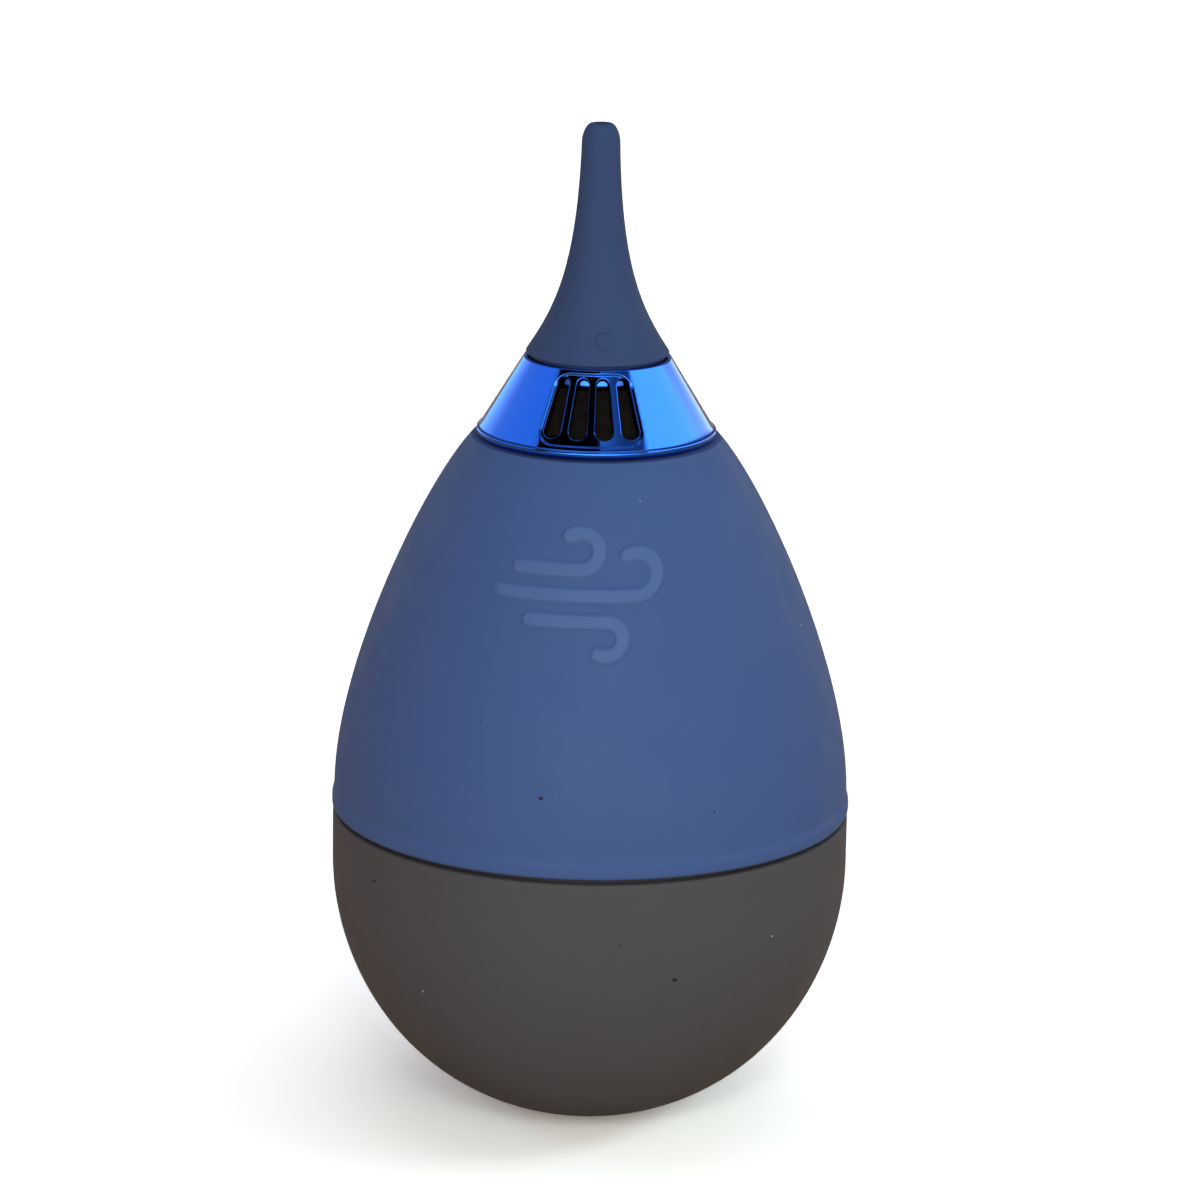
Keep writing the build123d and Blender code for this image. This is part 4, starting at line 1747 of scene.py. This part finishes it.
    def patch_points(self) -> tuple[np.ndarray, list[tuple[int, int]], list[np.ndarray]]:
        """Places for the vented patch on the unrolled face.

        Returns:
            The places, the edges that the triangles must keep, and the numbers of the places on
            each slot's edge.
        """
        slope, slants = self.slope(), self.slants()
        half = math.radians(self.patch_angle)
        turns = np.linspace(-half, half, self.lathe.front_columns + 1)
        border = np.vstack(
            [
                slope.flat(turns, np.full_like(turns, slants[0])),
                slope.flat(np.full(len(slants) - 2, half), slants[1:-1]),
                slope.flat(turns[::-1], np.full_like(turns, slants[-1])),
                slope.flat(np.full(len(slants) - 2, -half), slants[-2:0:-1]),
            ]
        )
        places = [border]
        edges = [(i, (i + 1) % len(border)) for i in range(len(border))]
        rounding = self.vent_rounding
        angles = np.radians([0, 22, 45, 65, 80])
        offsets = [rounding * (1 - math.cos(angle)) for angle in angles]
        offsets += [rounding, rounding + self.vent_margin]
        loops = []
        count = len(border)
        for vent in self.vents():
            for offset in offsets:
                line = vent.loop(slope, offset)
                numbers = np.arange(count, count + len(line))
                edges += list(zip(numbers.tolist(), np.roll(numbers, -1).tolist()))
                if offset == 0:
                    loops.append(numbers)
                places.append(line)
                count += len(line)
        for share in np.linspace(-0.5, 0.5, self.pocket_lines):
            line = self.pocket_line(share * self.pocket_edge)
            places.append(line[self.vent_gap(line) > offsets[-1] + self.line_clear])
        low, clear = self.pocket_edge / 2 + self.fill_clear, offsets[-1] + self.fill_spacing / 2
        places.append(self.filling(self.fill_spacing, low, clear))
        return np.vstack(places), edges, loops

    def filling(self, spacing: float, low: float, clear: float) -> np.ndarray:
        """Staggered places over the patch, clear of the pocket's edge and of the slots.

        Args:
            spacing: distance between places.
            low: least distance from the pocket's edge.
            clear: least distance from a slot's edge.

        Returns:
            The places on the unrolled face.
        """
        slope, slants = self.slope(), self.slants()
        left, right = slope.flat(np.array([-0.53, 0.53]), np.zeros(2))[:, 0]
        bottom = slope.flat(np.array(0.0), np.array(0.0))[1]
        top = slope.flat(np.array(0.6), slants[-1:])[0, 1]
        xs = np.arange(left, right, spacing)
        ys = np.arange(bottom, top, spacing * STAGGER)
        x, y = np.meshgrid(xs, ys)
        x = x + (np.arange(len(ys)) % 2)[:, None] * spacing / 2
        flat = np.stack([x.ravel(), y.ravel()], 1)
        turn, slant = slope.folded(flat)
        short = math.radians(self.patch_angle) - np.abs(turn)
        inside = short * self.patch_reach > 0.45 * spacing
        inside &= (slant > slants[0] + 0.4 * spacing) & (slant < slants[-1] - 0.4 * spacing)
        gap = np.abs(self.pocket_distance(flat))
        return flat[inside & (gap >= low) & (self.vent_gap(flat) > clear)]

    def patch(self) -> bpy.types.Mesh:
        """The cone's vented front: outer face, slot walls and inner face, with true normals."""
        slope = self.slope()
        places, edges, loops = self.patch_points()
        flat, _, triangles, origins, _, _ = delaunay_2d_cdt(
            [Vector(place) for place in places], edges, [], 0, 1e-7
        )
        flat = np.array([tuple(place) for place in flat])
        number_of = {old: new for new, olds in enumerate(origins) for old in olds}
        middles = flat[np.array(triangles)].mean(axis=1)
        slants = self.slants()
        turn, slant = slope.folded(middles)
        # The triangles fill the convex hull, so those over a slot or past the border go.
        keep = (self.vent_gap(middles) > 0) & (slant < slants[-1] - 0.002) & (slant > slants[0])
        keep &= np.abs(turn) < math.radians(self.patch_angle) - 1e-4
        faces = np.array(triangles)[keep]
        outer, normals, away = self.surface(flat)
        turn, slant = slope.folded(flat)
        inner = slope.place(turn, slant, self.wall)
        out = slope.frame_at(turn)[0]
        count = len(flat)
        points, quads, quad_hints = [outer, inner], [], []
        for loop in loops:
            rim = np.array([number_of[int(i)] for i in loop])
            rows = [rim]
            start = outer[rim]
            for share in (0.35, 0.7):  # rows down the slot's wall
                number = sum(len(p) for p in points)
                points.append(start + share * (inner[rim] - start))
                rows.append(np.arange(number, number + len(rim)))
            rows.append(rim + count)
            for upper, lower in zip(rows, rows[1:]):
                for i in range(len(rim)):
                    j = (i + 1) % len(rim)
                    quads.append((upper[i], lower[i], lower[j], upper[j]))
                    here, there = -away[rim[i]], -away[rim[j]]
                    quad_hints.append([here, here, there, there])
        points = np.vstack(points)
        mesh = bpy.data.meshes.new("collar_patch")
        flipped = faces[:, ::-1] + count
        walls = [[int(number) for number in quad] for quad in quads]
        mesh.from_pydata((points * MM).tolist(), [], [*faces.tolist(), *flipped.tolist(), *walls])
        corner_normals = [*normals[faces.ravel()], *(-out)[(flipped - count).ravel()]]
        corner_normals += [normal for hint in quad_hints for normal in hint]
        hint = mesh.attributes.new("true_normal", "FLOAT_VECTOR", "CORNER")
        hint.data.foreach_set("vector", np.array(corner_normals, np.float32).ravel())
        return mesh

    def opened(self, piece: bpy.types.Object) -> None:
        """Removes the turned faces that the patch stands for, and keeps the others' normals."""
        mesh = piece.data
        normals = np.empty(3 * len(mesh.loops), np.float32)
        mesh.corner_normals.foreach_get("vector", normals)
        hint = mesh.attributes.new("true_normal", "FLOAT_VECTOR", "CORNER")
        hint.data.foreach_set("vector", normals)
        slope, slants = self.slope(), self.slants()
        edit = bmesh.new()
        edit.from_mesh(mesh)
        gone = []
        for face in edit.faces:
            x, y, z = face.calc_center_median() / MM
            reach, turn = math.hypot(x, y), abs(math.degrees(math.atan2(x, -y)))
            depth = (self.cone(z) - reach) * math.cos(self.lean)
            slant = (z - slope.height + depth * math.sin(self.lean)) / math.cos(self.lean)
            on_face = min(abs(depth), abs(depth - self.wall)) < self.face_reach
            if turn < self.patch_angle and slants[0] < slant < slants[-1] and on_face:
                gone.append(face)
        bmesh.ops.delete(edit, geom=gone, context="FACES")
        edit.to_mesh(mesh)
        edit.free()

    def build(self) -> list[bpy.types.Object]:
        """Makes the collar."""
        low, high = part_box("collar")
        self.bottom, self.top, self.bottom_radius = low.z / MM, high.z / MM, high.x / MM
        piece = self.lathe.turn("collar_plated", self.outline(), COLLAR_PLATING)
        self.opened(piece)
        joined = bmesh.new()
        joined.from_mesh(piece.data)
        joined.from_mesh(self.patch())
        bmesh.ops.remove_doubles(joined, verts=joined.verts, dist=0.002 * MM)
        log.info("collar: %d open edges", sum(len(e.link_faces) != 2 for e in joined.edges))
        joined.to_mesh(piece.data)
        joined.free()
        mesh = piece.data
        mesh.polygons.foreach_set("use_smooth", [True] * len(mesh.polygons))
        hints = np.empty(3 * len(mesh.loops), np.float32)
        mesh.attributes["true_normal"].data.foreach_get("vector", hints)
        mesh.attributes.remove(mesh.attributes["true_normal"])
        mesh.normals_split_custom_set(hints.reshape(-1, 3).tolist())
        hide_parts("collar")
        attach(piece, "collar")
        return [piece]


@dataclass
class Filter:
    """Foam sleeve behind the vents, with its open cells."""

    gap: float = 0.3
    thickness: float = 1.6
    pore: float = 0.55
    pore_depth: float = 0.16
    lathe: Lathe = Lathe(front_angle=40, front_columns=110, back_columns=190)

    @staticmethod
    def tree() -> Tree:
        """The Geometry Nodes tree that presses cells into a surface, made once."""
        tree, given = new_geometry_tree(
            "foam_cells",
            {
                "Geometry": "NodeSocketGeometry",
                "Pore": "NodeSocketFloat",
                "Depth": "NodeSocketFloat",
                "Seed": "NodeSocketFloat",
                "Material": "NodeSocketMaterial",
            },
        )
        scale = maths(tree, "DIVIDE", 1.0, given.outputs["Pore"])
        cells = add(
            tree,
            "ShaderNodeTexVoronoi",
            {"voronoi_dimensions": "4D"},
            links={
                "Vector": add(tree, "GeometryNodeInputPosition").outputs[0],
                "W": given.outputs["Seed"],
                "Scale": scale,
            },
        )
        pit = add(
            tree,
            "ShaderNodeMapRange",
            {"interpolation_type": "SMOOTHSTEP"},
            {"From Min": 0.55, "From Max": 0.2},
            {"Value": cells.outputs["Distance"]},
        ).outputs[0]
        sunk = maths(tree, "MULTIPLY", pit, given.outputs["Depth"])
        way = add(tree, "GeometryNodeInputNormal").outputs[0]
        minus = maths(tree, "MULTIPLY", sunk, -1.0)
        move = add(
            tree,
            "ShaderNodeVectorMath",
            {"operation": "SCALE"},
            links={0: way, "Scale": minus},
        )
        moved = add(
            tree,
            "GeometryNodeSetPosition",
            links={"Geometry": given.outputs["Geometry"], "Offset": move.outputs[0]},
        )
        end_tree(tree, given, moved.outputs[0])
        return tree

    def build(self, collar: Collar) -> list[bpy.types.Object]:
        """Makes the foam sleeve.

        Args:
            collar: the cover that it stands behind.

        Returns:
            The sleeve.
        """
        low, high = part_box("filter_ring")
        bottom, top = low.z / MM, high.z / MM
        outer, inner = collar.wall + self.gap, collar.wall + self.gap + self.thickness
        rows = np.linspace(bottom, top, 26)
        outline = [(collar.cone(z, outer), float(z)) for z in rows]
        outline += [(collar.cone(z, inner), float(z)) for z in rows[::-1]]
        sleeve = self.lathe.turn("filter_sleeve", [*outline, outline[0]], FILTER_FOAM)
        plain = sleeve.data
        bpy.data.objects.remove(sleeve)
        piece = grown(
            "filter_foam_sleeve",
            plain,
            self.tree(),
            {
                "Pore": self.pore * MM,
                "Depth": self.pore_depth * MM,
                "Seed": 7.0,
                "Material": FILTER_FOAM.material(),
            },
        )
        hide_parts("filter_ring")
        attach(piece, "head")
        return [piece]


# ---------------------------------------------------------------- studio
@dataclass(frozen=True)
class Glow:
    """A soft round light far away.

    Attributes:
        towards: its direction.
        colour: its colour.
        strength: its brightness.
        spread: the angle from its middle, in degrees, where it has faded out.
        core: the angle within which it is at its full brightness.
    """

    towards: tuple[float, float, float]
    colour: str
    strength: float
    spread: float
    core: float


@dataclass(frozen=True)
class Strip:
    """A long curved strip box: the directions at one angle from an axis, on one side of the blower.

    Attributes:
        axis: the direction that it curves about.
        offset: cosine of its angle from that axis.
        half_width: half of its width, as a cosine.
        side: the direction that it lies towards.
        side_from: cosine to that direction where it starts.
        side_full: cosine where it is at its full brightness.
        colour: its colour.
        strength: its brightness.
        back_share: how much of that brightness it has at its back end.
    """

    axis: tuple[float, float, float]
    offset: float
    half_width: float
    side: tuple[float, float, float]
    side_from: float
    side_full: float
    colour: str
    strength: float
    back_share: float


@dataclass
class Sky:
    """Soft surroundings that light the blower: a dome, glows, two strip boxes and a dark card.

    Attributes:
        dome: colour of the plain dome overhead and behind.
        dome_strength: its brightness.
        glows: the round lights.
        strips: the strip boxes.
        low_dome: colour of what lies low down at the front and the sides.
        low_strength: its brightness.
        high_from: cosines from straight up between which the low part becomes the dome.
        back_from: cosines from the back between which it does so too.
        strip_back_from: cosines from the back between which a strip takes its back share.
        strip_edge: where a strip's edge fades, as shares of its half width.
        card: direction of the dark card.
        card_angle: angle from its middle to its edge, in degrees.
        card_blur: half of its edge's blur, as a cosine.
        tree: the world's tree, once it is made.
        way: the socket that gives the light's way in.
    """

    dome: str = "#f5f5ff"
    dome_strength: float = 0.22
    glows: tuple[Glow, ...] = (
        Glow((0.0, -1.0, 0.1), "#eafcf2", 1.85, 54.0, 12.0),
        Glow((0.0, -1.0, 0.05), "#f0fcff", 1.6, 34.0, 8.0),
        Glow((0.75, -0.66, 0.12), "#faffe4", 0.62, 36.0, 10.0),
        Glow((-1.0, 0.1, -0.02), "#ff6a20", 0.19, 60.0, 20.0),
        Glow((0.0, 0.1, 1.0), "#ffffff", 0.5, 32.0, 12.0),
    )
    strips: tuple[Strip, ...] = (
        Strip(
            axis=(-0.181, 0.490, 0.852),
            offset=0.34,
            half_width=0.09,
            side=(0.8, 0.6, 0.0),
            side_from=0.28,
            side_full=0.38,
            colour="#ecfdff",
            strength=2.5,
            back_share=0.75,
        ),
        Strip(
            axis=(0.181, 0.490, 0.852),
            offset=0.34,
            half_width=0.09,
            side=(-0.8, 0.6, 0.0),
            side_from=0.2,
            side_full=0.5,
            colour="#a4e4ff",
            strength=0.8,
            back_share=2.2,
        ),
    )
    low_dome: str = "#ff8c28"
    low_strength: float = 0.58
    high_from: Pair = (0.12, 0.42)
    back_from: Pair = (0.5, 0.85)
    strip_back_from: Pair = (0.45, 0.85)
    strip_edge: Pair = (1.5, 0.8)
    card: tuple[float, float, float] = (-0.343, -0.529, 0.777)
    card_angle: float = 25.6
    card_blur: float = 0.004
    tree: Tree | None = None
    way: Socket | None = None

    def cosine(self, direction: Sequence[float]) -> Socket:
        """Cosine of the angle between the light's way in and a direction."""
        unit = tuple(Vector(direction).normalized())
        kind, settings = "ShaderNodeVectorMath", {"operation": "DOT_PRODUCT"}
        return add(self.tree, kind, settings, {1: unit}, {0: self.way}).outputs[1]

    def faded(self, value: Socket, low: float, high: float, ends: Pair = (0.0, 1.0)) -> Socket:
        """Smooth change of a value from one end at low to the other at high."""
        return add(
            self.tree,
            "ShaderNodeMapRange",
            {"interpolation_type": "SMOOTHSTEP"},
            {"From Min": low, "From Max": high, "To Min": ends[0], "To Max": ends[1]},
            {"Value": value},
        ).outputs[0]

    def coloured(self, share: Socket, colour: str, strength: float) -> Socket:
        """A colour at a strength, scaled by a share."""
        tint = tuple(strength * c for c in linear(colour)[:3])
        kind, settings = "ShaderNodeVectorMath", {"operation": "SCALE"}
        return add(self.tree, kind, settings, {0: tint}, {"Scale": share}).outputs[0]

    def summed(self, first: Socket, second: Socket) -> Socket:
        """Two lights together."""
        kind, settings = "ShaderNodeVectorMath", {"operation": "ADD"}
        return add(self.tree, kind, settings, links={0: first, 1: second}).outputs[0]

    def build(self) -> None:
        """Makes the world; what the camera sees of it is plain white."""
        world = bpy.data.worlds.new("studio")
        bpy.context.scene.world = world
        world.use_nodes = True
        self.tree = tree = world.node_tree
        tree.nodes.clear()
        self.way = add(tree, "ShaderNodeTexCoord").outputs["Generated"]
        height = self.cosine((0, 0, 1))
        back = self.faded(self.cosine((0, 1, 0)), *self.back_from)
        high = self.faded(height, *self.high_from)
        plain_share = maths(tree, "MAXIMUM", high, back)
        low = maths(tree, "SUBTRACT", 1.0, plain_share)
        light = self.summed(
            self.coloured(plain_share, self.dome, self.dome_strength),
            self.coloured(low, self.low_dome, self.low_strength),
        )
        for glow in self.glows:
            edge, core = math.cos(math.radians(glow.spread)), math.cos(math.radians(glow.core))
            share = self.faded(self.cosine(glow.towards), edge, core)
            light = self.summed(light, self.coloured(share, glow.colour, glow.strength))
        for strip in self.strips:
            off = maths(tree, "SUBTRACT", self.cosine(strip.axis), strip.offset)
            gap = maths(tree, "ABSOLUTE", off)
            outer, inner = (share * strip.half_width for share in self.strip_edge)
            across = self.faded(gap, outer, inner)
            along = self.faded(self.cosine(strip.side), strip.side_from, strip.side_full)
            ends = (1.0, strip.back_share)
            level = self.faded(self.cosine((0, 1, 0)), *self.strip_back_from, ends)
            share = maths(tree, "MULTIPLY", maths(tree, "MULTIPLY", across, along), level)
            light = self.summed(light, self.coloured(share, strip.colour, strip.strength))
        edge = math.cos(math.radians(self.card_angle))
        card = self.faded(self.cosine(self.card), edge - self.card_blur, edge + self.card_blur)
        shaded = add(
            tree,
            "ShaderNodeVectorMath",
            {"operation": "SCALE"},
            links={0: light, "Scale": maths(tree, "SUBTRACT", 1.0, card)},
        )
        lit = add(tree, "ShaderNodeBackground", links={"Color": shaded.outputs[0]})
        plain = add(tree, "ShaderNodeBackground", values={"Color": (1, 1, 1, 1)})
        seen = add(tree, "ShaderNodeLightPath").outputs["Is Camera Ray"]
        both = add(
            tree,
            "ShaderNodeMixShader",
            links={0: seen, 1: lit.outputs[0], 2: plain.outputs[0]},
        )
        add(tree, "ShaderNodeOutputWorld", links={"Surface": both.outputs[0]})


@dataclass
class Studio:
    """Plain pale floor, soft light and the camera.

    Attributes:
        camera_distance: metres from the blower's axis.
        camera_height: metres above the floor.
        camera_turn: degrees from the front towards +X.
        pitch: how far the camera looks down, in radians.
        yaw: how far it looks past the axis, in radians.
        roll: how far it leans, in radians.
        lens: its focal length.
        floor_half: half of the floor's side, in metres.
        floor_bounce: colour of the light that the floor gives back.
        floor_shown: how bright the camera sees it.
        aim_height: metres above the floor where the lamps point.
    """

    camera_distance: float = 0.63506
    camera_height: float = 0.23482
    camera_turn: float = 2.9
    pitch: float = 0.259
    yaw: float = -0.0013
    roll: float = -0.017
    lens: float = 155.505
    floor_half: float = 12.0
    floor_bounce: str = "#ddc8ac"
    floor_shown: float = 2.3
    aim_height: float = 0.07

    def floor(self) -> None:
        """A wide pale floor, exposed to white for the camera."""
        mesh = bpy.data.meshes.new("floor")
        half = self.floor_half
        corners = [(x * half, y * half, 0) for x, y in ((-1, -1), (1, -1), (1, 1), (-1, 1))]
        mesh.from_pydata(corners, [], [(0, 1, 2, 3)])
        floor = placed("floor", mesh)
        paper = bpy.data.materials.new("paper_matt")
        paper.use_nodes = True
        tree = paper.node_tree
        tree.nodes.clear()
        seen = add(tree, "ShaderNodeLightPath").outputs["Is Camera Ray"]
        bounce, shown = linear(self.floor_bounce), (self.floor_shown,) * 3 + (1.0,)
        tone = mixed(tree, seen, bounce, shown)
        matt = add(tree, "ShaderNodeBsdfDiffuse", links={"Color": tone})
        add(tree, "ShaderNodeOutputMaterial", links={"Surface": matt.outputs[0]})
        mesh.materials.append(paper)

    def lamp(
        self,
        name: str,
        azimuth: float,
        elevation: float,
        distance: float,
        size: Pair,
        power: float,
    ) -> None:
        """A soft box aimed at the blower.

        Args:
            name: the lamp's name.
            azimuth: degrees from the front towards +X.
            elevation: degrees above the floor.
            distance: metres from the blower's middle.
            size: width and height, in metres.
            power: in watts.
        """
        data = bpy.data.lights.new(name, "AREA")
        data.shape, data.size, data.size_y, data.energy = "RECTANGLE", size[0], size[1], power
        lamp = placed(name, data)
        turn, rise = math.radians(azimuth), math.radians(elevation)
        level = math.cos(rise)
        way = Vector((math.sin(turn) * level, -math.cos(turn) * level, math.sin(rise)))
        lamp.location = Vector((0, 0, self.aim_height)) + distance * way
        lamp.rotation_mode = "QUATERNION"
        lamp.rotation_quaternion = (-way).to_track_quat("-Z", "Y")

    def camera(self) -> None:
        """The camera, a long lens a little above the blower."""
        data = bpy.data.cameras.new("camera")
        data.lens, data.sensor_width = self.lens, 36.0
        data.clip_start, data.clip_end = 0.01, 100.0
        camera = placed("camera", data)
        turn = math.radians(self.camera_turn)
        place = Vector((math.sin(turn), -math.cos(turn), 0)) * self.camera_distance
        place.z = self.camera_height
        heading = turn + self.yaw
        ahead = Vector((-math.sin(heading), math.cos(heading), 0)) * math.cos(self.pitch)
        ahead.z = -math.sin(self.pitch)
        right = ahead.cross(Vector((0, 0, 1))).normalized()
        up = right.cross(ahead)
        right, up = (
            right * math.cos(self.roll) - up * math.sin(self.roll),
            up * math.cos(self.roll) + right * math.sin(self.roll),
        )
        facing = Matrix((right, up, -ahead)).transposed().to_4x4()
        camera.matrix_world = Matrix.Translation(place) @ facing
        bpy.context.scene.camera = camera

    def build(self) -> None:
        """Sets the whole studio up."""
        bpy.context.scene.view_settings.view_transform = "Standard"
        self.floor()
        Sky().build()
        self.lamp(
            "front_box",
            azimuth=4.0,
            elevation=30.0,
            distance=1.1,
            size=(0.16, 0.12),
            power=0.6,
        )
        self.camera()


# ---------------------------------------------------------------- putting it together
def dress_nodes(record: dict) -> None:
    """Gives every CAD node the finish of its slot in the record.

    Args:
        record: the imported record.
    """
    slots = {slot.label: slot.finish for slot in Slot}
    for part in record["subparts"]:
        node = frame["nodes"][part["node"]]
        finish = slots[part["material_slot"]]
        node.data.materials.clear()
        node.data.materials.append(finish.material())
        log.info("dressed %s in %s", part["node"], finish.name)


def main() -> None:
    """Dresses the CAD nodes and builds every piece and the studio."""
    logging.basicConfig(level=logging.INFO, format="%(name)s: %(message)s")
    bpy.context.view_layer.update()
    dress_nodes(frame["record"])
    collar = Collar()
    made = [
        *Base().build(),
        *Bulb().build(),
        *collar.build(),
        *Filter().build(collar),
        *Nozzle().build(),
    ]
    for piece in made:
        log.info("made %s: %d faces", piece.name, len(piece.data.polygons))
    Studio().build()
    bpy.context.view_layer.update()


if __name__ == "__main__":
    main()
